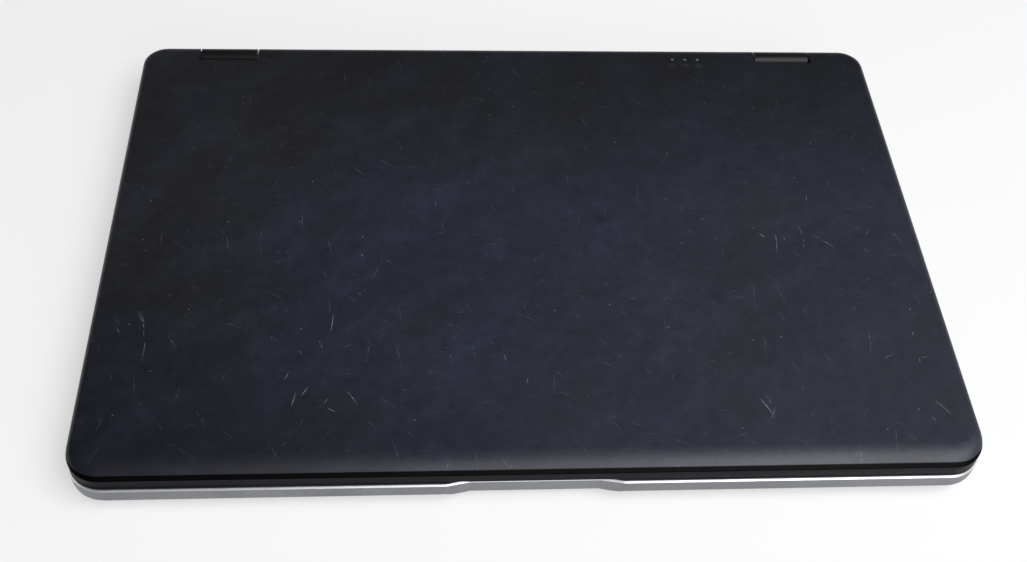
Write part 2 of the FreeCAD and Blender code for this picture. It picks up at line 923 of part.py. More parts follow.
def make_keyboard_bezel():
    windows = []
    for places in key_places().values():
        for place in places:
            windows.append(key_wire(*place, key_clearance, z_lattice - lattice_thickness))
    grow = keyboard_margin + keyboard_flange
    x = keyboard_width / 2 + grow
    border = rounded_wire(-x, x, y_keyboard_front - grow, y_keyboard + grow, z_lattice - lattice_thickness,
                          deck_window_radius, deck_window_radius)
    lattice = Part.makeFace([border] + windows, "Part::FaceMakerBullseye")
    lattice = lattice.extrude(Vector(0, 0, lattice_thickness))
    rib = keyboard_slab(grow, z_plate, z_lattice - lattice_thickness)
    rib = rib.cut(keyboard_slab(grow - keyboard_rib, z_plate, z_lattice - lattice_thickness))
    stick_hole = upright(stick_x, stick_y, z_plate, z_lattice, stick_stem_radius + 2 * running_gap)
    return joined(lattice, rib).cut(stick_hole)


def make_keyboard_plate():
    return keyboard_slab(keyboard_margin + keyboard_flange, z_plate_low, z_plate)


def make_pointing_stick():
    z_cap_top = z_deck + lid_gap / 2
    z_cap_low = z_cap_top - stick_height
    stem = upright(stick_x, stick_y, z_plate, z_cap_low, stick_stem_radius)
    profile = ((0, z_cap_low), (stick_radius - stick_waist, z_cap_low),
               (stick_radius, z_cap_low + stick_waist), (stick_radius, z_cap_top - stick_dome),
               (stick_radius - stick_dome, z_cap_top), (0, z_cap_top))
    corners = [Vector(stick_x + radius, stick_y, z) for radius, z in profile]
    face = Part.Face(Part.makePolygon(corners + corners[:1]))
    cap = face.revolve(Vector(stick_x, stick_y, 0), Vector(0, 0, 1), 360)
    return joined(stem, cap)


def make_wireless_switch():
    half = switch_length / 2
    rise = switch_height / 2
    x_inner = half_width - frame_wall - belly_side_inset - running_gap
    knob = box(x_inner, half_width - switch_recess, switch_y - half, switch_y + half, z_socket - rise,
               z_socket + rise)
    reach = half + switch_travel + running_gap
    plate = box(x_inner - switch_plate, x_inner, switch_y - reach, switch_y + reach, z_socket - 2 * rise,
                z_socket + 2 * rise)
    grip = box(half_width - switch_recess - running_gap, half_width, switch_y - running_gap,
               switch_y + running_gap, z_socket - rise, z_socket + rise)
    return joined(knob, plate).cut(grip)


# Lid

def lid_wire(z, offset):
    front_rise = z - (z_top - front_roll_radius)
    side_rise = z - z_lip
    rear_rise = z - z_hinge
    front = front_roll_run - math.sqrt(max((front_roll_radius - offset) ** 2 - front_rise ** 2, 0))
    side = side_roll_radius - math.sqrt(max((side_roll_radius - offset) ** 2 - side_rise ** 2, 0))
    rear = hinge_radius - math.sqrt(max((hinge_radius - offset) ** 2 - rear_rise ** 2, 0))
    x = lid_half_width - side
    return rounded_wire(-x, x, y_lid_front + front, y_lid_rear - rear, z,
                        lid_front_radius - (front + side) / 2, lid_rear_radius - (rear + side) / 2)


def lid_roll(offset):
    wires = []
    for step in range(roll_steps + 1):
        share = math.sin(math.radians(90 * step / roll_steps))
        wires.append(lid_wire(z_lip + share * (z_top - offset - z_lip), offset))
    return Part.makeLoft(wires, True, False)


def lid_slab(inset, z_low, z_high):
    x = lid_half_width - inset
    wire = rounded_wire(-x, x, y_lid_front + inset, y_lid_rear - inset, z_low, lid_front_radius - inset,
                        lid_rear_radius - inset)
    return raised(wire, z_high - z_low)


def behind(y, z_low, z_high):
    return box(-case_width, case_width, y, case_depth, z_low, z_high)


def hinge_notches(wall):
    # Notches for the hinge covers, with mouths that flare towards the rear edge.
    half = hinge_cover_width / 2 + notch_clearance + wall
    mouth = half + notch_flare
    rear = y_lid_rear + notch_flare
    front = y_barrel - wall
    points = ((hinge_x - half, front), (hinge_x + half, front), (hinge_x + half, y_lid_rear - notch_flare),
              (hinge_x + mouth, rear), (hinge_x - mouth, rear), (hinge_x - half, y_lid_rear - notch_flare))
    return both_sides(raised(polygon_wire(points, z_deck - hinge_radius), z_top))


def sleeve_pockets():
    pocket = crosswise(x_sleeve_in - fit_gap, x_sleeve_out + fit_gap, y_hinge, z_hinge,
                       sleeve_radius + fit_gap)
    hole = crosswise(x_sleeve_out, x_notch + notch_flare, y_hinge, z_hinge, pin_radius + running_gap)
    return both_sides(pocket) + both_sides(hole)


def light_places():
    y = y_hinge - light_inset
    return [(light_x + step * light_pitch, y) for step in (-1, 0, 1)]


def arm_screw_places():
    x = (x_sleeve_in + x_sleeve_out) / 2
    first = y_hinge - arm_screw_inset
    return [(x, first), (x, first - arm_screw_pitch)]


def window_bounds():
    half = lid_half_width - screen_side_border
    return -half, half, y_lid_front + screen_front_border, y_lid_rear - screen_rear_border


def lid_ribs():
    # Stiffening ribs along the inside of the cover, over the display panel.
    _, _, front, rear = window_bounds()
    half = lid_rib_width / 2
    ribs = []
    for index in range(lid_rib_count):
        x = (index - (lid_rib_count - 1) / 2) * lid_rib_pitch
        ribs.append(box(x - half, x + half, front, rear, z_ceiling - lid_rib_height, z_ceiling))
    return ribs


def make_lid_back_cover():
    rim = lid_slab(rim_inset, z_face, z_lip).cut(behind(y_barrel, z_lid, z_top))
    shell = joined(lid_roll(0), rim)
    inner = rim_inset + rim_wall
    low = lid_slab(inner, z_face, z_lip)
    high = lid_roll(cover_wall).common(lid_slab(inner, z_lip, z_top))
    cavity = joined(low, high).cut(hinge_notches(notch_wall) + lid_ribs())
    cuts = [cavity] + hinge_notches(0) + sleeve_pockets()
    for x, y in light_places():
        cuts.append(upright(x, y, z_lip, z_top + overcut, light_radius + fit_gap))
    for x, y in arm_screw_places():
        cuts += both_sides(upright(x, y, z_lip, z_ceiling + arm_screw_bite, screw_shank_radius))
    return shell.cut(cuts)


def bumper_places():
    _, x_right, front, rear = window_bounds()
    x_side = (x_right + lid_half_width) / 2
    y_front = (y_lid_front + front) / 2
    return [(-x_side, y_front), (x_side, y_front), (-x_right / 2, y_front), (x_right / 2, y_front),
            (-x_side, rear - screen_margin), (x_side, rear - screen_margin)]


def camera_y():
    return (y_lid_front + window_bounds()[2]) / 2


def make_display_bezel():
    face = lid_slab(0, z_lid, z_parting).cut(behind(y_hinge, z_lid, z_top))
    barrel = crosswise(-lid_half_width, lid_half_width, y_hinge, z_hinge, hinge_radius)
    barrel = barrel.common(lid_slab(0, z_hinge - hinge_radius, z_parting))
    pocket = lid_slab(bezel_wall, z_face, z_parting).cut(behind(y_barrel, z_lid, z_top))
    x_left, x_right, front, rear = window_bounds()
    window = rounded_slab(x_left - screen_margin, x_right + screen_margin, front - screen_margin,
                          rear + screen_margin, z_lid, z_face, screen_margin)
    cuts = [pocket, window] + hinge_notches(0) + sleeve_pockets()
    for x, y in bumper_places():
        cuts.append(upright(x, y, z_lid, z_lid + bumper_seat, bumper_radius))
    cuts.append(upright(0, camera_y(), z_lid, z_face, camera_lens_radius + fit_gap))
    for sign in (-1, 1):
        cuts.append(upright(sign * microphone_spacing / 2, camera_y(), z_lid, z_face, microphone_radius))
    return joined(face, barrel).cut(cuts)


def make_lcd_panel():
    x_left, x_right, front, rear = window_bounds()
    x = x_right + panel_side_lap
    y_rear = rear + panel_rear_lap
    panel = box(-x, x, front - panel_front_lap, y_rear, z_face, z_panel_back)
    step = box(-x, x, y_rear - driver_board_depth, y_rear, (z_face + z_panel_back) / 2, z_panel_back)
    emboss = rounded_slab(x_left, x_right, front, rear, z_panel_back - panel_emboss, z_panel_back,
                          deck_window_radius)
    return panel.cut([step, emboss])


def make_lcd_screen():
    x_left, x_right, front, rear = window_bounds()
    return box(x_left, x_right, front, rear, z_face - screen_sheet, z_face)


def make_webcam_module():
    y = camera_y()
    board = centred_slab(0, y, camera_board_length, camera_board_depth, z_face, z_face + board_thickness,
                         deck_window_radius)
    half = camera_board_depth / 2
    can = box(-half, half, y - half, y + half, z_face + board_thickness, z_face + 2 * board_thickness)
    lens = upright(0, y, z_lid + fit_gap, z_face, camera_lens_radius)
    return joined(board, can, lens)


def make_wireless_antennas():
    y = camera_y()
    half = antenna_depth / 2
    strip = box(antenna_start, antenna_start + antenna_length, y - half, y + half, z_face,
                z_face + antenna_height)
    return Part.makeCompound(both_sides(strip))


def make_display_cable():
    rear = window_bounds()[3]
    y_across = rear + panel_rear_lap + cable_width / 2 - running_gap
    end = -x_sleeve_in + running_gap
    points = ((cable_start_x, y_across - cable_run), (cable_start_x, y_across), (end, y_across))
    return bent_strip(points, cable_bend, cable_width, z_panel_back, cable_thickness)


def make_hinge_arm():
    sleeve = crosswise(x_sleeve_in, x_sleeve_out, y_hinge, z_hinge, sleeve_radius)
    arm = box(x_sleeve_in, x_sleeve_out, y_hinge - arm_length, y_hinge, z_arm - arm_thickness, z_arm)
    bore = crosswise(x_sleeve_in, x_sleeve_out, y_hinge, z_hinge, pin_radius + pin_clearance)
    cuts = [bore]
    for x, y in arm_screw_places():
        cuts.append(upright(x, y, z_arm - arm_thickness, z_arm, screw_shank_radius + fit_gap))
    return joined(sleeve, arm).cut(cuts)


def make_lid_screws():
    screws = []
    z_seat = z_arm - arm_thickness
    for x, y in arm_screw_places():
        head = upright(x, y, z_seat - screw_head_height / 2, z_seat, arm_screw_radius)
        shank = upright(x, y, z_seat, z_ceiling + arm_screw_bite, screw_shank_radius)
        screws += both_sides(joined(head, shank))
    return Part.makeCompound(screws)


def make_lid_bumpers():
    bumpers = []
    for x, y in bumper_places():
        bumpers.append(upright(x, y, z_lid - bumper_height, z_lid + bumper_seat, bumper_radius))
    return Part.makeCompound(bumpers)


def make_status_light_pipe():
    bar = centred_slab(light_x, y_hinge - light_inset, 3 * light_pitch, 4 * light_radius,
                       z_ceiling - light_bar_height, z_ceiling, light_radius)
    pins = [upright(x, y, z_ceiling, z_top, light_radius) for x, y in light_places()]
    return joined(bar, *pins)


# Hinges

def make_hinge_pin():
    x_end = hinge_x + hinge_cover_width / 2 - hinge_wall - running_gap
    return crosswise(x_sleeve_in, x_end, y_hinge, z_hinge, pin_radius)


def make_hinge_bracket():
    half = hinge_cover_width / 2 - hinge_wall - running_gap
    y_front = y_hinge - web_front
    y_rear = y_hinge + web_rear
    boss = crosswise(hinge_x - half, hinge_x + half, y_hinge, z_hinge,
                     hinge_radius - hinge_wall - running_gap)
    web = box(hinge_x - half, hinge_x + half, y_front, y_rear, z_inside, z_hinge)
    foot = box(hinge_x - half, hinge_x + half, y_front - bracket_foot_depth, y_rear, z_inside,
               z_inside + bracket_foot_thickness)
    bore = crosswise(hinge_x - half, hinge_x + half, y_hinge, z_hinge, pin_radius)
    return joined(boss, web, foot).cut(bore)


def make_hinge_cover():
    half = hinge_cover_width / 2
    inner = half - hinge_wall
    barrel = crosswise(hinge_x - half, hinge_x + half, y_hinge, z_hinge, hinge_radius)
    base = box(hinge_x - half, hinge_x + half, y_hinge - hinge_radius, y_hinge + hinge_radius, z_pocket,
               z_hinge)
    bore = crosswise(hinge_x - inner, hinge_x + inner, y_hinge, z_hinge, hinge_radius - hinge_wall)
    slot = box(hinge_x - inner, hinge_x + inner, y_hinge - web_front - running_gap,
               y_hinge + web_rear + running_gap, z_pocket, z_hinge)
    hole = crosswise(hinge_x - half, hinge_x, y_hinge, z_hinge, pin_radius + fit_gap)
    return joined(barrel, base).cut([bore, slot, hole])


# Sockets

def socket(mouth_width, mouth_height, depth):
    half = mouth_width / 2
    rise = mouth_height / 2
    wall = socket_wall
    shell = box(-half - wall, half + wall, -depth, 0, -rise - wall, rise + wall)
    return shell.cut(box(-half, half, wall - depth, 0, -rise, rise))


def tongue(width, height, depth, z):
    return box(-width / 2, width / 2, socket_wall - depth, -2 * socket_wall, z, z + height)


def make_usb_ports():
    shell = socket(usb_mouth_width, usb_mouth_height, usb_depth)
    z_tongue = usb_mouth_height / 2 - usb_tongue_gap - usb_tongue_height
    port = joined(shell, tongue(usb_tongue_width, usb_tongue_height, usb_depth, z_tongue))
    places = [socket_places()[name] for name in ("usb_left", "usb_right", "usb_rear")]
    return Part.makeCompound([placed(port, *place, z_socket) for place in places])


def make_hdmi_port():
    shell = socket(hdmi_mouth_width, hdmi_mouth_height, hdmi_depth)
    blade = tongue(hdmi_tongue_width, hdmi_tongue_height, hdmi_depth, -hdmi_tongue_height / 2)
    return placed(joined(shell, blade), *socket_places()["hdmi"], z_socket)


def make_network_port():
    shell = socket(network_mouth_width, network_mouth_height, network_depth)
    return placed(shell, *socket_places()["network"], z_socket)


def make_card_reader():
    shell = socket(card_mouth_width, card_mouth_height, card_depth)
    return placed(shell, *socket_places()["card"], z_socket)


def make_audio_jack():
    half = audio_body_width / 2
    rise = audio_body_height / 2
    body = box(-half, half, -audio_depth, 0, -rise, rise)
    start = Vector(0, socket_wall - audio_depth, 0)
    bore = Part.makeCylinder(audio_bore_radius, audio_depth - socket_wall, start, Vector(0, 1, 0))
    return placed(body.cut(bore), *socket_places()["audio"], z_socket)


def make_power_jack():
    half = power_body_width / 2
    rise = power_body_height / 2
    body = box(-half, half, -power_depth, 0, -rise, rise)
    start = Vector(0, socket_wall - power_depth, 0)
    bore = Part.makeCylinder(power_bore_radius, power_depth - socket_wall, start, Vector(0, 1, 0))
    pin = Part.makeCylinder(power_pin_radius, power_depth - 4 * socket_wall, start, Vector(0, 1, 0))
    return placed(joined(body.cut(bore), pin), *socket_places()["power"], z_socket)


# Cooling

def make_fan_housing():
    reach = fan_radius + fan_margin
    x_left = x_fan - reach
    y_low = y_fan - reach
    y_high = y_fan + reach
    z_plate_top = z_fan + fan_wall
    z_roof = z_fan_top - fan_wall
    body = rounded_slab(x_left, x_fan + reach, y_low, y_high, z_fan, z_fan_top, fan_margin)
    volute = upright(x_fan, y_fan, z_plate_top, z_roof, fan_radius + fan_margin / 2)
    outlet = box(x_left - overcut, x_fan, y_low + fan_margin / 2, y_high - fan_margin / 2, z_plate_top,
                 z_roof)
    inlets = upright(x_fan, y_fan, z_fan, z_fan_top, fan_inlet_radius)
    spider = upright(x_fan, y_fan, z_fan, z_plate_top, fan_hub_radius)
    arm = fan_inlet_radius + overcut
    half = 2 * fan_axle_radius
    arms = [box(x_fan - arm, x_fan + arm, y_fan - half, y_fan + half, z_fan, z_plate_top),
            box(x_fan - half, x_fan + half, y_fan - arm, y_fan + arm, z_fan, z_plate_top)]
    axle = upright(x_fan, y_fan, z_fan, z_roof, fan_axle_radius)
    return joined(body.cut([volute, outlet, inlets]), spider, *arms, axle)


def make_fan_rotor():
    z_low = z_fan + fan_wall + running_gap
    z_high = z_fan_top - fan_wall - running_gap
    hub = upright(x_fan, y_fan, z_low, z_high, fan_hub_radius)
    root = Vector(x_fan + fan_hub_radius, y_fan, 0)
    half = fan_blade_thickness / 2
    blades = []
    for index in range(fan_blades):
        blade = box(root.x - overcut, x_fan + fan_radius, y_fan - half, y_fan + half, z_low, z_high)
        blade.rotate(root, Vector(0, 0, 1), fan_blade_lean)
        blade.rotate(Vector(x_fan, y_fan, 0), Vector(0, 0, 1), 360 * index / fan_blades)
        blades.append(blade)
    limit = upright(x_fan, y_fan, z_low, z_high, fan_radius)
    bore = upright(x_fan, y_fan, z_low, z_high, fan_axle_radius + pin_clearance)
    return joined(hub, *blades).common(limit).cut(bore)


def make_heat_sink():
    # A comb of fins on a bent flat pipe, with a cold plate over the processor.
    fins = box(x_fin_left, x_fin_right, y_fin_front, y_fin_rear, z_fan, z_pipe)
    slots = []
    y = y_fin_front + fin_thickness
    while y + fin_pitch < y_fin_rear:
        slots.append(box(x_fin_left, x_fin_right, y, y + fin_pitch - fin_thickness, z_fan,
                         z_pipe - fin_thickness))
        y += fin_pitch
    x_run = (x_fin_left + x_fin_right) / 2
    y_run = y_fan + fan_radius + fan_margin + pipe_width / 2 + running_gap
    points = ((processor_x, processor_y), (processor_x, y_run), (x_run, y_run), (x_run, y_fin_front))
    pipe = bent_strip(points, pipe_bend, pipe_width, z_pipe, z_pipe_top - z_pipe)
    plate = centred_slab(processor_x, processor_y, processor_size, processor_size, z_pipe - cold_plate,
                         z_pipe, deck_window_radius)
    return joined(fins.cut(slots), pipe, plate)


# Boards and stores

def make_system_board():
    board = rounded_slab(x_board_left, x_board_right, y_board_front, y_board_rear, z_board, z_board_top,
                         deck_window_radius)
    return board.cut(upright(cell_x, cell_y, z_board, z_board_top, cell_radius + running_gap))


def make_processor():
    die = processor_size / 2
    carrier = centred_slab(processor_x, processor_y, processor_size, processor_size, z_board_top,
                           z_board_top + processor_height / 2, deck_window_radius)
    chip = centred_slab(processor_x, processor_y, die, die, z_board_top + processor_height / 2,
                        z_board_top + processor_height, deck_window_radius)
    return joined(carrier, chip)


def make_card(left_inset, rear_inset, length, depth, chips):
    # A plug-in card held level by its edge socket and a pad, with a row of chips on top.
    x_low = x_board_left + left_inset - length / 2
    y_high = y_board_rear - rear_inset + depth / 2
    y_low = y_high - depth
    x_middle = x_low + length / 2
    z_chip = z_card_top - chip_height
    z_card = z_chip - board_thickness
    card = rounded_slab(x_low, x_low + length, y_low, y_high, z_card, z_chip, chip_height)
    foot = box(x_low, x_low + length, y_low, y_low + edge_strip, z_board_top, z_card)
    pad = box(x_middle - edge_strip, x_middle + edge_strip, y_high - edge_strip, y_high, z_board_top, z_card)
    pieces = [card, foot, pad]
    step = (length - chip_margin) / chips
    for index in range(chips):
        left = x_low + chip_margin + index * step
        pieces.append(box(left, left + step - chip_margin, y_low + edge_strip + chip_margin,
                          y_high - chip_margin, z_chip, z_card_top))
    return joined(*pieces)


def make_coin_cell():
    return upright(cell_x, cell_y, z_floor, z_floor + cell_height, cell_radius)


def make_battery_pack():
    z_low = z_floor + fit_gap
    z_high = z_low + battery_height
    pack = rounded_slab(-x_battery, x_battery, y_battery_front, y_battery_rear, z_low, z_high,
                        deck_window_radius)
    step = 2 * x_battery / battery_cells
    grooves = []
    for index in range(1, battery_cells):
        x = -x_battery + index * step
        grooves.append(box(x - battery_groove, x + battery_groove, y_battery_front, y_battery_rear,
                           z_high - battery_groove, z_high))
    return pack.cut(grooves)


def make_speakers():
    # Speakers that face down, each with a cone over its grille.
    body = rounded_slab(x_speaker, x_speaker + speaker_width, y_speaker, y_battery_rear, z_floor,
                        z_floor + speaker_height, deck_window_radius)
    middle = Vector(x_speaker + speaker_width / 2, (y_speaker + y_battery_rear) / 2, z_floor)
    cone = Part.makeCone(speaker_cone_radius, speaker_cone_radius / 2, speaker_height / 2, middle)
    return Part.makeCompound(both_sides(body.cut(cone)))


def save(name, shape):
    solids = shape.Solids
    if not solids or not shape.isValid():
        raise ValueError("no sound solid for " + name)
    whole = solids[0] if len(solids) == 1 else Part.makeCompound(solids)
    whole.exportStep("parts/" + name + ".step")


def main():
    os.makedirs("parts", exist_ok=True)
    nodes = {
        "base_frame": make_base_frame(),
        "bottom_cover": make_bottom_cover(),
        "rubber_feet": make_rubber_feet(),
        "base_screws": make_base_screws(),
        "palm_rest": make_palm_rest(),
        "keyboard_bezel": make_keyboard_bezel(),
        "keyboard_plate": make_keyboard_plate(),
        "pointing_stick": make_pointing_stick(),
        "touchpad": make_touchpad(),
        "wireless_switch": make_wireless_switch(),
        "lid_back_cover": make_lid_back_cover(),
        "display_bezel": make_display_bezel(),
        "lcd_panel": make_lcd_panel(),
        "lcd_screen": make_lcd_screen(),
        "webcam_module": make_webcam_module(),
        "wireless_antennas": make_wireless_antennas(),
        "display_cable": make_display_cable(),
        "lid_screws": make_lid_screws(),
        "lid_bumpers": make_lid_bumpers(),
        "status_light_pipe": make_status_light_pipe(),
        "usb_ports": make_usb_ports(),
        "hdmi_port": make_hdmi_port(),
        "network_port": make_network_port(),
        "card_reader": make_card_reader(),
        "audio_jack": make_audio_jack(),
        "power_jack": make_power_jack(),
        "fan_housing": make_fan_housing(),
        "fan_rotor": make_fan_rotor(),
        "heat_sink": make_heat_sink(),
        "system_board": make_system_board(),
        "processor": make_processor(),
        "memory_module": make_card(memory_left_inset, memory_rear_inset, memory_length, memory_depth,
                                   memory_chips),
        "solid_state_drive": make_card(drive_left_inset, drive_rear_inset, drive_length, drive_depth,
                                       drive_chips),
        "wireless_card": make_card(radio_left_inset, radio_rear_inset, radio_length, radio_depth,
                                   radio_chips),
        "coin_cell": make_coin_cell(),
        "battery_pack": make_battery_pack(),
        "speakers": make_speakers(),
    }
    nodes["hinge_pins"] = Part.makeCompound(both_sides(make_hinge_pin()))
    hinge_pieces = (
        ("hinge_arm", make_hinge_arm()),
        ("hinge_bracket", make_hinge_bracket()),
        ("hinge_cover", make_hinge_cover()),
    )
    for name, shape in hinge_pieces:
        nodes[name + "_right"] = shape
        nodes[name + "_left"] = mirrored(shape)
    for name, (left, right, front) in click_bounds().items():
        nodes[name] = make_click_button(left, right, front)
    for name, (x, width) in strip_buttons().items():
        nodes[name] = make_strip_button(x, width)
    for name, places in key_places().items():
        nodes[name] = make_key_row(places)
    for name, shape in nodes.items():
        save(name, shape)


main()
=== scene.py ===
import math

import bmesh
import bpy
from mathutils import Matrix, Vector


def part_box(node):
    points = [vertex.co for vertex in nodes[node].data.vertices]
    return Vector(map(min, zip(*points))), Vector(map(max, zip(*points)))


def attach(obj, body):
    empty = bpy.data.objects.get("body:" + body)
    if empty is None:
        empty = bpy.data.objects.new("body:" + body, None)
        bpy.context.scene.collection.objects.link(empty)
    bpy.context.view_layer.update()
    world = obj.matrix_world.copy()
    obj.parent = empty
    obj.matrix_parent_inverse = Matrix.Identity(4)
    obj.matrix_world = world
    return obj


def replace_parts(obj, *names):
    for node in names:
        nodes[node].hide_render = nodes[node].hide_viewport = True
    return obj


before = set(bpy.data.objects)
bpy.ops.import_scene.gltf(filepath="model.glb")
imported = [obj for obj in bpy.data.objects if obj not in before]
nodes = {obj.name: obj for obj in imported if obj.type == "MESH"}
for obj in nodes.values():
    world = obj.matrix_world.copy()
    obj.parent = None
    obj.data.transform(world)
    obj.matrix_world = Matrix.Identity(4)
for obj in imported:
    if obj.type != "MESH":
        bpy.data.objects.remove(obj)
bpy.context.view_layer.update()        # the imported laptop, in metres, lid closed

mm = 0.001
print("frame loaded:", len(nodes), "nodes")


# small helpers

def linear(hexColour):        # sRGB hex to the linear RGBA that sockets take
    channels = [int(hexColour[i:i + 2], 16) / 255 for i in (1, 3, 5)]
    return [c / 12.92 if c <= 0.04045 else ((c + 0.055) / 1.055) ** 2.4 for c in channels] + [1.0]


def addNode(tree, kind, values=None, links=None, **settings):
    node = tree.nodes.new("ShaderNode" + kind)
    for name, value in settings.items():
        setattr(node, name, value)
    for socket, value in (values or {}).items():
        node.inputs[socket].default_value = value
    for socket, source in (links or {}).items():
        tree.links.new(source, node.inputs[socket])
    return node


def startMaterial(name):
    material = bpy.data.materials.new(name)
    material.use_nodes = True
    tree = material.node_tree
    tree.nodes.clear()
    shader = addNode(tree, "BsdfPrincipled")
    addNode(tree, "OutputMaterial", links={"Surface": shader.outputs[0]})
    place = addNode(tree, "TexCoord").outputs["Object"]
    return material, tree, shader, place


def dress(names, material):        # a CAD node keeps its mesh and gets a better finish
    for name in names.split():
        mesh = nodes[name].data
        mesh.materials.clear()
        mesh.materials.append(material)


# materials

def strokeMarks(tree, place, cell, length, width, lean, spread, share, bend=0.0, shift=0.0):
    # one stroke in each Voronoi cell, turned, thinned or dropped by the cell's own random colour
    moved = addNode(tree, "VectorMath", {1: (shift * mm, shift * mm, 0)}, {0: place}, operation="ADD")
    moved = moved.outputs[0]
    cells = addNode(tree, "TexVoronoi", {"Scale": 1 / (cell * mm)}, {"Vector": moved},
                    voronoi_dimensions="2D")
    chance = addNode(tree, "SeparateColor", links={0: cells.outputs["Color"]}).outputs
    away = addNode(tree, "VectorMath", links={0: moved, 1: cells.outputs["Position"]}, operation="SUBTRACT")
    turn = addNode(tree, "MapRange", {"To Min": lean - spread, "To Max": lean + spread}, {0: chance[0]})
    turned = addNode(tree, "VectorRotate", links={"Vector": away.outputs[0], "Angle": turn.outputs[0]},
                     rotation_type="Z_AXIS")
    axes = addNode(tree, "SeparateXYZ", links={0: turned.outputs[0]}).outputs
    along = addNode(tree, "Math", links={0: axes[0]}, operation="ABSOLUTE").outputs[0]
    square = addNode(tree, "Math", {1: 2.0}, {0: along}, operation="POWER").outputs[0]
    curved = addNode(tree, "Math", {1: bend / mm}, {0: square, 2: axes[1]}, operation="MULTIPLY_ADD")
    across = addNode(tree, "Math", links={0: curved.outputs[0]}, operation="ABSOLUTE").outputs[0]
    reach = addNode(tree, "MapRange", {"To Min": length * mm * 0.15, "To Max": length * mm * 0.5},
                    {0: chance[1]}).outputs[0]
    line = addNode(tree, "MapRange", {"From Min": width * mm * 0.5, "From Max": 0.0}, {0: across},
                   interpolation_type="SMOOTHSTEP").outputs[0]
    ends = addNode(tree, "MapRange", {"From Max": 0.0}, {0: along, "From Min": reach},
                   interpolation_type="SMOOTHSTEP").outputs[0]
    kept = addNode(tree, "Math", {1: share}, {0: chance[2]}, operation="LESS_THAN").outputs[0]
    stroke = addNode(tree, "Math", links={0: line, 1: ends}, operation="MULTIPLY").outputs[0]
    return addNode(tree, "Math", links={0: stroke, 1: kept}, operation="MULTIPLY").outputs[0]


def spotMask(tree, place, spots, level):
    # soft round areas, each given by its middle and radius in millimetres, over a low level elsewhere
    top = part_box("lid_back_cover")[1].z
    mask = None
    for x, y, radius in spots:
        apart = addNode(tree, "VectorMath", {1: (x * mm, y * mm, top)}, {0: place}, operation="DISTANCE")
        spot = addNode(tree, "MapRange", {"From Min": radius * mm, "From Max": 0.0, "To Min": level},
                       {0: apart.outputs["Value"]}, interpolation_type="SMOOTHSTEP").outputs[0]
        if mask is not None:
            spot = addNode(tree, "Math", links={0: mask, 1: spot}, operation="MAXIMUM").outputs[0]
        mask = spot
    return mask


lidPaint = {        # millimetres, and each spot is a middle and a radius
    "blueTone": "#1c202e", "brownTone": "#151518", "hazeTone": "#394155",
    "scuffTone": "#b4b8be", "scratchTone": "#0a0a0d", "iconTone": "#70757f",
    "patch": 60.0, "mottle": 6.0, "grain": 0.9,
    "scuffSpots": ((-79, -76, 26), (-82, -52, 16), (149, -58, 18), (148, -88, 16), (86, -92, 12),
                   (130, 4, 26), (105, -3, 12), (-146, -47, 20), (-2, -70, 16), (12, 12, 12)),
    "scratchSpots": ((95, 45, 50), (148, 28, 34), (76, -98, 30), (-95, 60, 40)),
    "iconGap": 3.0, "iconReach": 1.1, "iconLine": 0.16, "iconShare": 0.3,
    # the near-black lip tone is painted shadow: a black band over the cover's lower edge, where the parting
    # groove lies in shade
    "grooveShadowTone": "#050506", "lip": 0.8, "partingGap": 0.6,
}


def statusIcons(tree, place):
    # a ring, a cell and a ring printed in front of the three status lights
    look = lidPaint
    low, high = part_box("status_light_pipe")
    step = (high.x - low.x) / 3
    marks = None
    for index, kind in enumerate(("ring", "cell", "ring")):
        middle = ((low.x + high.x) / 2 + (index - 1) * step, low.y - look["iconGap"] * mm, 0)
        away = addNode(tree, "VectorMath", {1: middle}, {0: place}, operation="SUBTRACT").outputs[0]
        flat = addNode(tree, "VectorMath", {1: (1, 1, 0)}, {0: away}, operation="MULTIPLY").outputs[0]
        reach = look["iconReach"] * mm
        if kind == "ring":
            size = addNode(tree, "VectorMath", links={0: flat}, operation="LENGTH").outputs["Value"]
        else:
            sides = addNode(tree, "VectorMath", links={0: flat}, operation="ABSOLUTE").outputs[0]
            sides = addNode(tree, "SeparateXYZ", links={0: sides}).outputs
            tall = addNode(tree, "Math", {1: reach * 0.45}, {0: sides[1]}, operation="ADD").outputs[0]
            size = addNode(tree, "Math", links={0: sides[0], 1: tall}, operation="MAXIMUM").outputs[0]
        line = addNode(tree, "Math", {1: reach, 2: look["iconLine"] * mm}, {0: size}, operation="COMPARE")
        mark = line.outputs[0]
        if marks is not None:
            mark = addNode(tree, "Math", links={0: marks, 1: mark}, operation="MAXIMUM").outputs[0]
        marks = mark
    return addNode(tree, "Math", {1: look["iconShare"]}, {0: marks}, operation="MULTIPLY").outputs[0]


def shadedAreas(tree, axes):
    # painted shade: darker along the hinge side and at the front left corner
    rear = addNode(tree, "MapRange", {"From Min": 10 * mm, "From Max": 110 * mm}, {0: axes[1]}).outputs[0]
    side = addNode(tree, "MapRange", {"From Min": -160 * mm, "From Max": 140 * mm, "To Min": 0.4},
                   {0: axes[0]})
    rear = addNode(tree, "Math", links={0: rear, 1: side.outputs[0]}, operation="MULTIPLY").outputs[0]
    across = addNode(tree, "Math", links={0: axes[0], 1: axes[1]}, operation="ADD").outputs[0]
    corner = addNode(tree, "MapRange", {"From Min": -100 * mm, "From Max": -260 * mm, "To Max": 0.65},
                     {0: across})
    corner = corner.outputs[0]
    return addNode(tree, "Math", links={0: rear, 1: corner}, operation="MAXIMUM").outputs[0]


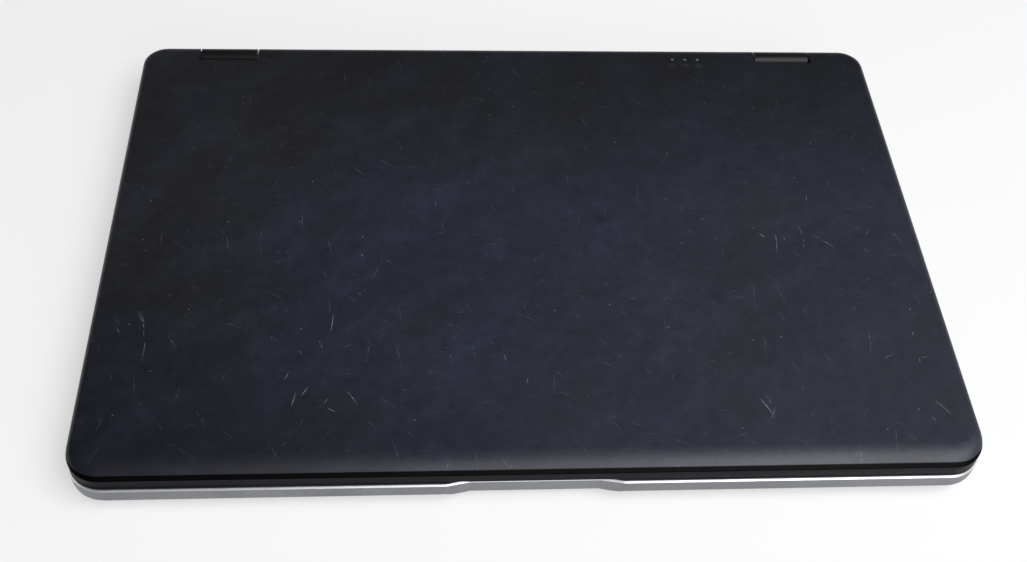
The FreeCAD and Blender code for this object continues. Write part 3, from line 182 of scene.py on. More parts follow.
def softTouchPaint():
    # Rubbery soft-touch paint over a metal cover: nearly matt and blue-grey, browner in random stains and, as
    # painted shade, darker and browner towards the left and rear, with pale scuffs through the coat and dark
    # hairline scratches.
    look = lidPaint
    material, tree, shader, place = startMaterial("soft_touch_paint")
    patch = addNode(tree, "TexNoise", {"Scale": 1 / (look["patch"] * mm), "Detail": 5, "Roughness": 0.62},
                    {"Vector": place}).outputs[0]
    axes = addNode(tree, "SeparateXYZ", links={0: place}).outputs
    # painted shade: the tone turns browner and darker towards the left and rear edges; the noise patches
    # added to it are stains
    left = addNode(tree, "MapRange", {"From Min": 0.0, "From Max": -170 * mm, "To Max": 0.35}, {0: axes[0]})
    rear = addNode(tree, "MapRange", {"From Min": 20 * mm, "From Max": 115 * mm, "To Max": 0.35},
                   {0: axes[1]})
    edge = addNode(tree, "Math", links={0: left.outputs[0], 1: rear.outputs[0]}, operation="ADD").outputs[0]
    shadeAndWear = addNode(tree, "Math", links={0: edge, 1: patch}, operation="ADD").outputs[0]
    shadeAndGrime = addNode(tree, "MapRange", {"From Min": 0.5, "From Max": 0.95}, {0: shadeAndWear}).outputs[0]
    colour = addNode(tree, "Mix", {6: linear(look["blueTone"]), 7: linear(look["brownTone"])},
                     {0: shadeAndGrime}, data_type="RGBA").outputs[2]

    wiped = addNode(tree, "Mapping", {"Rotation": (0, 0, 0.6), "Scale": (2.0, 1.0, 1.0)}, {"Vector": place},
                    vector_type="TEXTURE").outputs[0]
    haze = addNode(tree, "TexNoise", {"Scale": 1 / (22 * mm), "Detail": 6, "Roughness": 0.68},
                   {"Vector": wiped}).outputs[0]
    haze = addNode(tree, "MapRange", {"From Min": 0.45, "From Max": 0.8, "To Max": 0.26}, {0: haze})
    haze = haze.outputs[0]
    colour = addNode(tree, "Mix", {7: linear(look["hazeTone"])},
                     {0: haze, 6: colour}, data_type="RGBA").outputs[2]

    scratchArea = spotMask(tree, place, look["scratchSpots"], 0.1)
    scratch = strokeMarks(tree, place, 34, 44, 0.55, 0.9, 0.9, 0.7, bend=0.004)
    scratch = addNode(tree, "Math", links={0: scratch, 1: scratchArea}, operation="MULTIPLY").outputs[0]
    colour = addNode(tree, "Mix", {7: linear(look["scratchTone"])},
                     {0: scratch, 6: colour}, data_type="RGBA").outputs[2]

    scuffArea = spotMask(tree, place, look["scuffSpots"], 0.15)
    short = strokeMarks(tree, place, 7, 7, 0.45, 0.9, 1.5, 0.2, bend=0.02)
    long = strokeMarks(tree, place, 14, 18, 0.5, 1.1, 0.9, 0.35, bend=0.01, shift=31)
    broken = addNode(tree, "TexNoise", {"Scale": 1 / (2.2 * mm), "Detail": 2}, {"Vector": place}).outputs[0]
    broken = addNode(tree, "MapRange", {"From Min": 0.36, "From Max": 0.6, "To Max": 0.75}, {0: broken})
    broken = broken.outputs[0]
    scuff = addNode(tree, "Math", links={0: short, 1: long}, operation="MAXIMUM").outputs[0]
    scuff = addNode(tree, "Math", links={0: scuff, 1: scuffArea}, operation="MULTIPLY").outputs[0]
    scuff = addNode(tree, "Math", links={0: scuff, 1: broken}, operation="MULTIPLY").outputs[0]
    colour = addNode(tree, "Mix", {7: linear(look["scuffTone"])},
                     {0: scuff, 6: colour}, data_type="RGBA").outputs[2]

    dots = addNode(tree, "TexVoronoi", {"Scale": 1 / (11 * mm)}, {"Vector": place}, voronoi_dimensions="2D")
    chance = addNode(tree, "SeparateColor", links={0: dots.outputs["Color"]}).outputs
    near = addNode(tree, "MapRange", {"From Min": 0.03, "From Max": 0.015, "To Max": 0.3},
                   {0: dots.outputs["Distance"]})
    some = addNode(tree, "Math", {1: 0.06}, {0: chance[0]}, operation="LESS_THAN")
    dust = addNode(tree, "Math", links={0: near.outputs[0], 1: some.outputs[0]}, operation="MULTIPLY")
    colour = addNode(tree, "Mix", {7: linear(look["scuffTone"])},
                     {0: dust.outputs[0], 6: colour}, data_type="RGBA").outputs[2]
    colour = addNode(tree, "Mix", {7: linear(look["iconTone"])},
                     {0: statusIcons(tree, place), 6: colour}, data_type="RGBA").outputs[2]
    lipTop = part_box("display_bezel")[1].z + (look["partingGap"] + look["lip"]) * mm        # painted shadow of the parting groove: the cover's lowest band turns black
    grooveShadow = addNode(tree, "MapRange", {"From Min": lipTop + 0.15 * mm, "From Max": lipTop}, {0: axes[2]})
    colour = addNode(tree, "Mix", {7: linear(look["grooveShadowTone"])},
                     {0: grooveShadow.outputs[0], 6: colour}, data_type="RGBA").outputs[2]

    grain = addNode(tree, "TexNoise", {"Scale": 1 / (look["grain"] * mm), "Detail": 2}, {"Vector": place})
    grain = grain.outputs[0]
    mottle = addNode(tree, "TexNoise", {"Scale": 1 / (look["mottle"] * mm), "Detail": 6, "Roughness": 0.7},
                     {"Vector": place}).outputs[0]
    both = addNode(tree, "Math", {1: 0.5}, {0: grain, 2: mottle}, operation="MULTIPLY_ADD").outputs[0]
    tint = addNode(tree, "MapRange", {"From Min": 0.5, "From Max": 1.0, "To Min": 0.65, "To Max": 1.35},
                   {0: both}).outputs[0]
    toned = addNode(tree, "VectorMath", links={0: colour, 1: tint}, operation="MULTIPLY").outputs[0]
    # painted shade: the colour is darkened, and the sheen lowered, along the hinge side, at the front left
    # corner and on the groove band
    shadeAndDull = shadedAreas(tree, axes)
    shadeAndDull = addNode(tree, "Math", links={0: shadeAndDull, 1: grooveShadow.outputs[0]}, operation="ADD").outputs[0]
    kept = addNode(tree, "MapRange", {"To Min": 1.0, "To Max": 0.5}, {0: shadeAndDull}).outputs[0]
    toned = addNode(tree, "VectorMath", links={0: toned, 1: kept}, operation="MULTIPLY").outputs[0]
    tree.links.new(toned, shader.inputs["Base Color"])
    rough = addNode(tree, "MapRange", {"From Min": 0.3, "From Max": 0.75, "To Min": 0.4, "To Max": 0.52},
                    {0: patch}).outputs[0]
    tree.links.new(rough, shader.inputs["Roughness"])
    sheen = addNode(tree, "MapRange", {"To Min": 0.45, "To Max": 0.24}, {0: shadeAndDull}).outputs[0]
    sheen = addNode(tree, "Math", {1: -0.2}, {0: grooveShadow.outputs[0], 2: sheen}, operation="MULTIPLY_ADD")
    tree.links.new(sheen.outputs[0], shader.inputs["Specular IOR Level"])
    marks = addNode(tree, "Math", links={0: scuff, 1: scratch}, operation="MAXIMUM").outputs[0]
    height = addNode(tree, "Math", {1: -1.2}, {0: marks, 2: grain}, operation="MULTIPLY_ADD").outputs[0]
    bump = addNode(tree, "Bump", {"Strength": 0.25, "Distance": 0.06 * mm}, {"Height": height})
    tree.links.new(bump.outputs[0], shader.inputs["Normal"])
    return material


def mouldedPlastic(name, dark, pale, roughness, grain, relief, gloss=0.5):
    # Injection-moulded ABS with a spark-eroded grain: fine pits break the gloss, and the tone drifts slowly
    material, tree, shader, place = startMaterial(name)
    pits = addNode(tree, "TexNoise", {"Scale": 1 / (grain * mm), "Detail": 3, "Roughness": 0.6},
                   {"Vector": place}).outputs[0]
    drift = addNode(tree, "TexNoise", {"Scale": 1 / (40 * mm), "Detail": 3}, {"Vector": place}).outputs[0]
    both = addNode(tree, "Math", {1: 0.35}, {0: pits, 2: drift}, operation="MULTIPLY_ADD").outputs[0]
    tone = addNode(tree, "MapRange", {"From Min": 0.45, "From Max": 0.95}, {0: both}).outputs[0]
    colour = addNode(tree, "Mix", {6: linear(dark), 7: linear(pale)},
                     {0: tone}, data_type="RGBA").outputs[2]
    tree.links.new(colour, shader.inputs["Base Color"])
    rough = addNode(tree, "MapRange", {"To Min": roughness - 0.07, "To Max": roughness + 0.07}, {0: drift})
    tree.links.new(rough.outputs[0], shader.inputs["Roughness"])
    shader.inputs["Specular IOR Level"].default_value = gloss
    bump = addNode(tree, "Bump", {"Strength": 0.3, "Distance": relief * mm}, {"Height": pits})
    tree.links.new(bump.outputs[0], shader.inputs["Normal"])
    return material


def metalFinish(name, dark, pale, roughness, grain, stretch):
    # Bare or plated metal: grain drawn out along X, cloudy tone and a roughness that wanders
    material, tree, shader, place = startMaterial(name)
    drawn = addNode(tree, "Mapping", {"Scale": (1 / stretch, 1.0, 1.0)}, {"Vector": place}).outputs[0]
    lines = addNode(tree, "TexNoise", {"Scale": 1 / (grain * mm), "Detail": 4, "Roughness": 0.6},
                    {"Vector": drawn}).outputs[0]
    cloud = addNode(tree, "TexNoise", {"Scale": 1 / (18 * mm), "Detail": 4}, {"Vector": place}).outputs[0]
    both = addNode(tree, "Math", {1: 0.6}, {0: lines, 2: cloud}, operation="MULTIPLY_ADD").outputs[0]
    tone = addNode(tree, "MapRange", {"From Min": 0.5, "From Max": 1.1}, {0: both}).outputs[0]
    colour = addNode(tree, "Mix", {6: linear(dark), 7: linear(pale)},
                     {0: tone}, data_type="RGBA").outputs[2]
    tree.links.new(colour, shader.inputs["Base Color"])
    rough = addNode(tree, "MapRange", {"To Min": roughness - 0.08, "To Max": roughness + 0.1}, {0: lines})
    tree.links.new(rough.outputs[0], shader.inputs["Roughness"])
    shader.inputs["Metallic"].default_value = 1.0
    bump = addNode(tree, "Bump", {"Strength": 0.2, "Distance": 0.01 * mm}, {"Height": lines})
    tree.links.new(bump.outputs[0], shader.inputs["Normal"])
    return material


def silverFrame():
    # Silver paint on a cast frame, metallic flakes just visible, with a pale polished band round the top edge
    # that is also a painted highlight
    material, tree, shader, place = startMaterial("silver_frame_paint")
    flake = addNode(tree, "TexVoronoi", {"Scale": 1 / (0.25 * mm)}, {"Vector": place}).outputs["Color"]
    flake = addNode(tree, "SeparateColor", links={0: flake}).outputs[0]
    cloud = addNode(tree, "TexNoise", {"Scale": 1 / (25 * mm), "Detail": 4}, {"Vector": place}).outputs[0]
    both = addNode(tree, "Math", {1: 0.3}, {0: flake, 2: cloud}, operation="MULTIPLY_ADD").outputs[0]
    tone = addNode(tree, "MapRange", {"From Min": 0.4, "From Max": 0.95}, {0: both}).outputs[0]
    colour = addNode(tree, "Mix", {6: linear("#74767a"), 7: linear("#8d8f92")},
                     {0: tone}, data_type="RGBA").outputs[2]
    axes = addNode(tree, "SeparateXYZ", links={0: place}).outputs
    aside = addNode(tree, "Math", links={0: axes[0]}, operation="ABSOLUTE").outputs[0]
    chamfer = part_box("base_frame")[1].z - 0.55 * mm        # the painted highlight dips along the finger scoop's wall, where there is no chamfer
    edge = addNode(tree, "MapRange", {"From Min": 24 * mm, "From Max": 31 * mm, "To Min": chamfer - 0.7 * mm,
                                      "To Max": chamfer}, {0: aside}).outputs[0]
    over = addNode(tree, "Math", links={0: axes[2], 1: edge}, operation="SUBTRACT").outputs[0]
    polishAndHighlight = addNode(tree, "MapRange", {"From Min": 0.0, "From Max": 0.05 * mm}, {0: over})
    # painted highlight: near-white, smoother metal along the top edge
    colour = addNode(tree, "Mix", {7: linear("#e4e5e6")},
                     {0: polishAndHighlight.outputs[0], 6: colour}, data_type="RGBA").outputs[2]
    tree.links.new(colour, shader.inputs["Base Color"])
    rough = addNode(tree, "MapRange", {"To Min": 0.42, "To Max": 0.3}, {0: polishAndHighlight.outputs[0]}).outputs[0]
    tree.links.new(rough, shader.inputs["Roughness"])
    shader.inputs["Metallic"].default_value = 0.8
    bump = addNode(tree, "Bump", {"Strength": 0.15, "Distance": 0.01 * mm}, {"Height": flake})
    tree.links.new(bump.outputs[0], shader.inputs["Normal"])
    return material


def circuitBoard(name, mask, trace):
    # Solder mask over copper: pale tracks run in straight steps under the green, dotted with tinned holes
    material, tree, shader, place = startMaterial(name)
    tracks = addNode(tree, "TexBrick", {"Scale": 1.0, "Mortar Size": 0.25 * mm, "Brick Width": 9 * mm,
                                        "Row Height": 1.6 * mm, "Mortar Smooth": 0.1},
                     {"Vector": place}).outputs["Fac"]
    where = addNode(tree, "TexNoise", {"Scale": 1 / (14 * mm), "Detail": 1}, {"Vector": place}).outputs[0]
    where = addNode(tree, "MapRange", {"From Min": 0.48, "From Max": 0.52}, {0: where}).outputs[0]
    shown = addNode(tree, "Math", links={0: tracks, 1: where}, operation="MULTIPLY").outputs[0]
    colour = addNode(tree, "Mix", {6: linear(mask), 7: linear(trace)},
                     {0: shown}, data_type="RGBA").outputs[2]
    holes = addNode(tree, "TexVoronoi", {"Scale": 1 / (4 * mm)}, {"Vector": place}, voronoi_dimensions="2D")
    hole = addNode(tree, "MapRange", {"From Min": 0.13, "From Max": 0.1}, {0: holes.outputs["Distance"]})
    colour = addNode(tree, "Mix", {7: linear("#b9b7a8")},
                     {0: hole.outputs[0], 6: colour}, data_type="RGBA").outputs[2]
    tree.links.new(colour, shader.inputs["Base Color"])
    rough = addNode(tree, "MapRange", {"To Min": 0.25, "To Max": 0.45}, {0: where}).outputs[0]
    tree.links.new(rough, shader.inputs["Roughness"])
    bump = addNode(tree, "Bump", {"Strength": 0.4, "Distance": 0.03 * mm}, {"Height": shown})
    tree.links.new(bump.outputs[0], shader.inputs["Normal"])
    return material


def lensGlass():
    # Coated glass: black with a violet bloom that fades from the middle, and a hard clear highlight
    material, tree, shader, place = startMaterial("coated_lens_glass")
    low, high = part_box("webcam_module")
    middle = (low + high) / 2
    apart = addNode(tree, "VectorMath", {1: (middle.x, middle.y, low.z)}, {0: place}, operation="DISTANCE")
    bloom = addNode(tree, "MapRange", {"From Min": 0.0, "From Max": 1.2 * mm}, {0: apart.outputs["Value"]})
    colour = addNode(tree, "Mix", {6: linear("#2a2140"), 7: linear("#060608")}, {0: bloom.outputs[0]},
                     data_type="RGBA").outputs[2]
    tree.links.new(colour, shader.inputs["Base Color"])
    shader.inputs["Roughness"].default_value = 0.08
    shader.inputs["Coat Weight"].default_value = 0.6
    return material


def dressFrame():
    dress("lid_back_cover", softTouchPaint())
    bezel = mouldedPlastic("satin_black_abs", "#0e0f13", "#16181e", 0.45, 0.5, 0.02, 0.06)
    dress("display_bezel", bezel)        # dull black with a faint blue cast
    lattice = mouldedPlastic("lattice_gloss_abs", "#0d0d0f", "#141517", 0.3, 0.8, 0.008)
    dress("keyboard_bezel", lattice)        # shinier than the keys, so they stand clear of it
    dress("base_frame", silverFrame())
    deck = mouldedPlastic("soft_touch_deck", "#1b1c1f", "#26272b", 0.55, 0.6, 0.03, 0.35)
    dress("palm_rest", deck)        # flat charcoal that takes no sharp highlight
    under = mouldedPlastic("painted_bottom_cover", "#161719", "#202124", 0.6, 0.7, 0.05, 0.35)
    dress("bottom_cover", under)        # coarse black paint
    dress(" ".join(keyRows), materials["keycap"])
    buttons = mouldedPlastic("button_abs", "#1a1b1e", "#25272b", 0.4, 0.3, 0.015)
    dress("touchpad_left_button touchpad_right_button stick_left_button stick_right_button", buttons)
    dress("power_button mute_button volume_down_button volume_up_button wireless_switch", buttons)
    pad = mouldedPlastic("touchpad_film", "#1d1e22", "#24262a", 0.38, 0.22, 0.02)
    dress("touchpad", pad)        # fine sandy film, a shade lighter than the deck
    hinge = mouldedPlastic("hinge_black_abs", "#0e0e10", "#161619", 0.4, 0.7, 0.02, 0.2)
    dress("hinge_cover_left hinge_cover_right", hinge)        # plain dark barrels
    dress("rubber_feet pointing_stick lid_bumpers", materials["rubber"])
    screen = mouldedPlastic("anti_glare_polariser", "#050507", "#08080b", 0.32, 0.15, 0.004, 0.25)
    dress("lcd_screen", screen)        # unlit screen: deep black under a soft sheen
    panel = metalFinish("blackened_panel_frame", "#17181a", "#232528", 0.5, 0.4, 4.0)
    dress("lcd_panel hinge_arm_left hinge_arm_right", panel)        # dark metal, hardly seen in the gaps
    dress("hinge_bracket_left hinge_bracket_right", panel)
    dress("hinge_pins keyboard_plate coin_cell lid_screws base_screws", materials["steel"])
    port = metalFinish("nickel_plated_shell", "#9a9c9e", "#c4c5c6", 0.28, 0.3, 5.0)
    dress("usb_ports hdmi_port card_reader", port)        # bright rims round the sockets
    dress("network_port audio_jack power_jack fan_housing fan_rotor", materials["nylon"])
    dress("speakers webcam_module processor", materials["nylon"])
    wrap = mouldedPlastic("battery_wrap", "#1c1c1e", "#2a2a2c", 0.45, 1.5, 0.05)
    dress("battery_pack", wrap)        # slightly wrinkled dark sleeve
    board = circuitBoard("solder_mask_board", "#0c3a22", "#1c6a3f")
    dress("system_board memory_module solid_state_drive wireless_card", board)
    copper = metalFinish("drawn_copper", "#a8623f", "#c98a63", 0.32, 0.4, 4.0)
    dress("heat_sink wireless_antennas", copper)        # warm metal with drawn lines
    film = mouldedPlastic("polyimide_film", "#3a2a12", "#57401c", 0.4, 0.8, 0.01)
    dress("display_cable", film)        # amber ribbon
    pipe = mouldedPlastic("light_pipe_acrylic", "#59607a", "#6d7690", 0.25, 0.6, 0.01)
    dress("status_light_pipe", pipe)        # unlit lamps, milky blue-grey
    print("frame dressed")


keyRows = {        # legends from left to right, a rear key before a front one
    "keys_function_row": "Esc F1 F2 F3 F4 F5 F6 F7 F8 F9 F10 F11 F12 PrtSc Ins Del",
    "keys_number_row": "~\n` !\n1 @\n2 #\n3 $\n4 %\n5 ^\n6 &\n7 *\n8 (\n9 )\n0 _\n- +\n= Backspace",
    "keys_upper_letter_row": "Tab Q W E R T Y U I O P {\n[ }\n] |\n\\",
    "keys_home_row": "Caps A S D F G H J K L :\n; \"\n' Enter",
    "keys_lower_letter_row": "Shift Z X C V B N M <\n, >\n. ?\n/ Shift",
    "keys_modifier_row": "Ctrl Fn Meta Alt Alt Ctrl",
    "keys_arrow_cluster": "PgUp left up down PgDn right",
    "space_bar": "",
}
materials = {
    "keycap": mouldedPlastic("keycap_abs", "#141416", "#1e1f22", 0.48, 0.35, 0.02),        # matt, pitted
    "ink": mouldedPlastic("legend_ink", "#b9bcc0", "#cfd1d4", 0.6, 0.3, 0.004, 0.3),        # pale grey print
    "rubber": mouldedPlastic("foot_rubber", "#101011", "#1a1a1b", 0.75, 0.8, 0.05, 0.3),        # dusty black
    "steel": metalFinish("zinc_plated_steel", "#8f9296", "#b4b7ba", 0.35, 0.4, 4.0),        # cool grey metal
    "gold": metalFinish("gold_flash", "#a9853c", "#d6b566", 0.25, 0.3, 4.0),        # yellow contact springs
    "nylon": mouldedPlastic("socket_nylon", "#0d0d0e", "#161617", 0.5, 0.4, 0.02),        # dull black
    "glass": lensGlass(),
}
dressFrame()


# modelling helpers

def startCube(name, low, high):
    bpy.ops.object.select_all(action="DESELECT")
    size = [b - a for a, b in zip(low, high)]
    middle = [(a + b) / 2 for a, b in zip(low, high)]
    bpy.ops.mesh.primitive_cube_add(size=1, location=middle, scale=size)
    piece = bpy.context.object
    piece.name = piece.data.name = name
    bpy.ops.object.transform_apply(location=True, rotation=True, scale=True)
    return piece


def startCylinder(name, radius, low, high, middle=(0, 0), sides=32):
    bpy.ops.object.select_all(action="DESELECT")
    place = (middle[0], middle[1], (low + high) / 2)
    bpy.ops.mesh.primitive_cylinder_add(vertices=sides, radius=radius, depth=high - low, location=place)
    piece = bpy.context.object
    piece.name = piece.data.name = name
    bpy.ops.object.transform_apply(location=True, rotation=True, scale=True)
    return piece


def pick(kind, test):        # in edit mode, selects the faces or edges that pass the test
    bpy.ops.mesh.select_mode(type=kind)
    bpy.ops.mesh.select_all(action="DESELECT")
    mesh = bmesh.from_edit_mesh(bpy.context.object.data)
    for part in mesh.faces if kind == "FACE" else mesh.edges:
        if test(part):
            part.select_set(True)
    bmesh.update_edit_mesh(bpy.context.object.data)


def upright(edge):
    return abs(edge.verts[0].co.z - edge.verts[1].co.z) > 0.01 * mm


def facesUp(face):
    return face.normal.z > 0.995


def facesDown(face):
    return face.normal.z < -0.995


def roundRim(test, offset, segments):        # bevels the outline of the faces that pass the test
    pick("FACE", test)
    bpy.ops.mesh.region_to_loop()
    bpy.ops.mesh.bevel(offset=offset * mm, segments=segments, affect="EDGES")


def sinkFaces(test, rings, step):        # insets the faces that pass the test, each ring a step deeper
    pick("FACE", test)
    for ring in rings:
        bpy.ops.mesh.inset(thickness=ring * mm)
        bpy.ops.transform.translate(value=(0, 0, step * mm))


def carve(piece, cutter):        # cuts one shape out of another for good
    cut = piece.modifiers.new("cut", "BOOLEAN")
    cut.object = cutter
    cut.solver = "EXACT"
    bpy.ops.object.select_all(action="DESELECT")
    bpy.context.view_layer.objects.active = piece
    bpy.ops.object.modifier_apply(modifier="cut")
    bpy.data.objects.remove(cutter)


def copyTo(source, name, place):        # a copy with a mesh of its own, placed within that mesh
    copy = source.copy()
    copy.data = source.data.copy()
    copy.name = copy.data.name = name
    copy.data.transform(place)
    bpy.context.collection.objects.link(copy)
    return copy


def joinPieces(pieces, name, material, body):
    bpy.ops.object.select_all(action="DESELECT")
    for piece in pieces:
        piece.select_set(True)
    bpy.context.view_layer.objects.active = pieces[0]
    if len(pieces) > 1:
        bpy.ops.object.join()
    whole = bpy.context.object
    whole.name = whole.data.name = name
    whole.data.materials.clear()
    whole.data.materials.append(material)
    bpy.ops.object.shade_smooth_by_angle(angle=math.radians(30))
    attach(whole, body)
    return whole


def loosePartBoxes(name):        # the corners of each separate solid in a CAD node, from the left
    spare = copyTo(nodes[name], name + "_spare", Matrix())
    bpy.ops.object.select_all(action="DESELECT")
    spare.select_set(True)
    bpy.context.view_layer.objects.active = spare
    bpy.ops.object.mode_set(mode="EDIT")
    bpy.ops.mesh.select_all(action="SELECT")
    bpy.ops.mesh.remove_doubles(threshold=0.001 * mm)
    bpy.ops.mesh.separate(type="LOOSE")
    bpy.ops.object.mode_set(mode="OBJECT")
    corners = []
    for part in bpy.context.selected_objects:
        points = [vertex.co for vertex in part.data.vertices]
        low = Vector([min(point[axis] for point in points) for axis in range(3)])
        high = Vector([max(point[axis] for point in points) for axis in range(3)])
        corners.append((low, high))
    bpy.ops.object.delete()
    return sorted(corners, key=lambda pair: (round(pair[0].x, 4), -pair[0].y))


# keys

keycap = {        # millimetres
    "corner": 1.5, "taper": 0.45, "rim": 0.35, "dishRings": (0.45, 0.45), "dishStep": 0.1,
    "wall": 1.0, "hollow": 1.5, "stickGap": 0.6,
}
legend = {        # millimetres
    "letter": 4.2, "symbol": 3.3, "word": 2.5, "left": 2.7, "top": 2.6, "flatTop": 2.3,
    "thick": 0.015, "lift": 0.01, "arrow": 1.5,
}


def modelKeycap(name, size):
    low = Vector((-size[0] / 2, -size[1] / 2, 0))
    cap = startCube(name, low, Vector((size[0] / 2, size[1] / 2, size[2])))
    bpy.ops.object.mode_set(mode="EDIT")
    pick("EDGE", upright)
    bpy.ops.mesh.bevel(offset=keycap["corner"] * mm, segments=5, affect="EDGES")
    pick("FACE", facesUp)
    shrink = [1 - 2 * keycap["taper"] * mm / side for side in size[:2]]
    bpy.ops.transform.resize(value=(shrink[0], shrink[1], 1), center_override=(0, 0, size[2]))
    roundRim(facesUp, keycap["rim"], 3)
    sinkFaces(facesUp, keycap["dishRings"], -keycap["dishStep"])        # the shallow dish for the fingertip
    pick("FACE", facesDown)        # hollow under the cap
    bpy.ops.mesh.inset(thickness=keycap["wall"] * mm)
    bpy.ops.mesh.extrude_region_move(TRANSFORM_OT_translate={"value": (0, 0, keycap["hollow"] * mm)})
    bpy.ops.object.mode_set(mode="OBJECT")
    return cap


def cutForStick(row):
    low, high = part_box("pointing_stick")
    radius = (high.x - low.x) / 2 + keycap["stickGap"] * mm
    carve(row, startCylinder("stick_room", radius, low.z, high.z + mm, (low + high) / 2, 48))


def addText(words, place, size):
    bpy.ops.object.text_add(location=place)
    label = bpy.context.object
    label.data.body = words
    label.data.size = size * mm
    label.data.align_y = "TOP"
    label.data.space_line = 0.9
    label.data.resolution_u = 3
    label.data.extrude = legend["thick"] * mm
    bpy.ops.object.convert(target="MESH")
    bpy.ops.object.transform_apply(location=True, rotation=True, scale=True)
    bpy.ops.object.mode_set(mode="EDIT")
    bpy.ops.mesh.select_all(action="SELECT")
    bpy.ops.mesh.remove_doubles(threshold=0.001 * mm)        # the letters' faces and edges become one skin
    bpy.ops.object.mode_set(mode="OBJECT")
    return label


def addArrow(way, place):
    turn = {"up": 90, "left": 180, "down": 270, "right": 0}[way]
    arrow = startCylinder("arrow", legend["arrow"] * mm, 0, 2 * legend["thick"] * mm, sides=3)
    bpy.ops.object.mode_set(mode="EDIT")
    pick("EDGE", upright)
    bpy.ops.mesh.bevel(offset=legend["arrow"] * 0.2 * mm, segments=3, affect="EDGES")
    bpy.ops.object.mode_set(mode="OBJECT")
    arrow.data.transform(Matrix.Translation(place) @ Matrix.Rotation(math.radians(turn - 90), 4, "Z"))
    return arrow


def makeKeys():
    caps = {}
    dish = len(keycap["dishRings"]) * keycap["dishStep"]
    for node, words in keyRows.items():
        corners = loosePartBoxes(node)
        copies = []
        labels = []
        for low, high in corners:
            size = tuple(round(value, 6) for value in high - low)
            if size not in caps:
                caps[size] = modelKeycap("keycap", size)
            middle = (low + high) / 2
            place = Matrix.Translation((middle.x, middle.y, low.z))
            copies.append(copyTo(caps[size], "keycap_copy", place))
        for (low, high), word in zip(corners, words.split(" ") if words else []):
            level = high.z - (dish - legend["lift"]) * mm
            if word in ("left", "up", "down", "right"):
                labels.append(addArrow(word, ((low.x + high.x) / 2, (low.y + high.y) / 2, level)))
                continue
            kind = "letter" if len(word) == 1 else "symbol" if "\n" in word else "word"
            flat = high.y - low.y < 9 * mm        # half-height keys carry their words nearer the edge
            drop = legend["flatTop"] if flat else legend["top"]
            place = (low.x + legend["left"] * mm, high.y - drop * mm, level)
            labels.append(addText(word, place, legend[kind]))
        row = joinPieces(copies, node + "_caps", materials["keycap"], node)
        if node in ("keys_home_row", "keys_lower_letter_row"):
            cutForStick(row)
        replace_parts(row, node)
        if labels:
            joinPieces(labels, node + "_legends", materials["ink"], node)
    for cap in caps.values():
        bpy.data.objects.remove(cap)
    print("keys modelled:", len(caps), "sizes")


# pointing stick, buttons and camera

stick = {        # millimetres
    "cap": 2.0, "rim": 0.7, "cupRings": (0.65, 0.65), "cup": 0.1, "waist": 0.35, "stem": 1.2,
}


def makeStick():
    low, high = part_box("pointing_stick")
    radius = (high.x - low.x) / 2
    under = high.z - stick["cap"] * mm
    cap = startCylinder("stick_cap", radius, under, high.z, (low + high) / 2, 48)
    bpy.ops.object.mode_set(mode="EDIT")
    roundRim(facesUp, stick["rim"], 4)
    sinkFaces(facesUp, stick["cupRings"], -stick["cup"])
    roundRim(facesDown, stick["waist"], 2)
    pick("FACE", facesDown)
    bpy.ops.mesh.inset(thickness=radius - (stick["waist"] + stick["stem"]) * mm)
    bpy.ops.mesh.extrude_region_move(TRANSFORM_OT_translate={"value": (0, 0, low.z - under)})
    bpy.ops.object.mode_set(mode="OBJECT")
    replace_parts(joinPieces([cap], "cupped_pointing_stick", materials["rubber"], "base"),
                "pointing_stick")


icon = {        # millimetres
    "thick": 0.03, "ring": 1.4, "line": 0.32, "bar": 1.3, "mark": 1.7,
    "horn": 0.9, "flare": 2.4, "apart": 1.7,
}


def addRing(place):
    ring = startCylinder("ring", icon["ring"] * mm, place.z, place.z + icon["thick"] * mm, place, 40)
    bpy.ops.object.mode_set(mode="EDIT")
    pick("FACE", lambda face: abs(face.normal.z) > 0.95)
    bpy.ops.mesh.inset(thickness=icon["line"] * mm)
    bpy.ops.mesh.bridge_edge_loops()        # opens the middle
    bpy.ops.object.mode_set(mode="OBJECT")
    return ring


def addBar(length, place, turn):
    half, line = length * mm / 2, icon["line"] * mm / 2
    bar = startCube("bar", (-half, -line, 0), (half, line, icon["thick"] * mm))
    bpy.ops.object.mode_set(mode="EDIT")
    pick("EDGE", upright)
    bpy.ops.mesh.bevel(offset=line * 0.6, segments=2, affect="EDGES")
    bpy.ops.object.mode_set(mode="OBJECT")
    bar.data.transform(Matrix.Translation(place) @ Matrix.Rotation(math.radians(turn), 4, "Z"))
    return bar


def addHorn(place):        # a loudspeaker in outline: a small block that flares to a mouth
    half = icon["horn"] * mm / 2
    horn = startCube("horn", (-2 * half, -half, 0), (0, half, icon["thick"] * mm))
    bpy.ops.object.mode_set(mode="EDIT")
    pick("FACE", lambda face: face.normal.x > 0.95)
    bpy.ops.mesh.extrude_region_move(TRANSFORM_OT_translate={"value": (2 * half, 0, 0)})
    bpy.ops.transform.resize(value=(1, icon["flare"], 1), center_override=(0, 0, 0))
    bpy.ops.object.mode_set(mode="OBJECT")
    horn.data.transform(Matrix.Translation(place))
    return horn


def makeIcons():
    turns = {"mute_button": (45, -45), "volume_down_button": (0,), "volume_up_button": (0, 90)}
    for node in ("power_button", "mute_button", "volume_down_button", "volume_up_button"):
        low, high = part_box(node)
        top = Vector(((low.x + high.x) / 2, (low.y + high.y) / 2, high.z))
        if node == "power_button":
            marks = [addRing(top), addBar(icon["bar"], top + Vector((0, icon["ring"] * 0.85 * mm, 0)), 90)]
        else:
            aside = Vector((icon["apart"] * mm, 0, 0))
            marks = [addHorn(top - aside)]
            marks += [addBar(icon["mark"], top + aside, turn) for turn in turns[node]]
        joinPieces(marks, node + "_icon", materials["ink"], node)


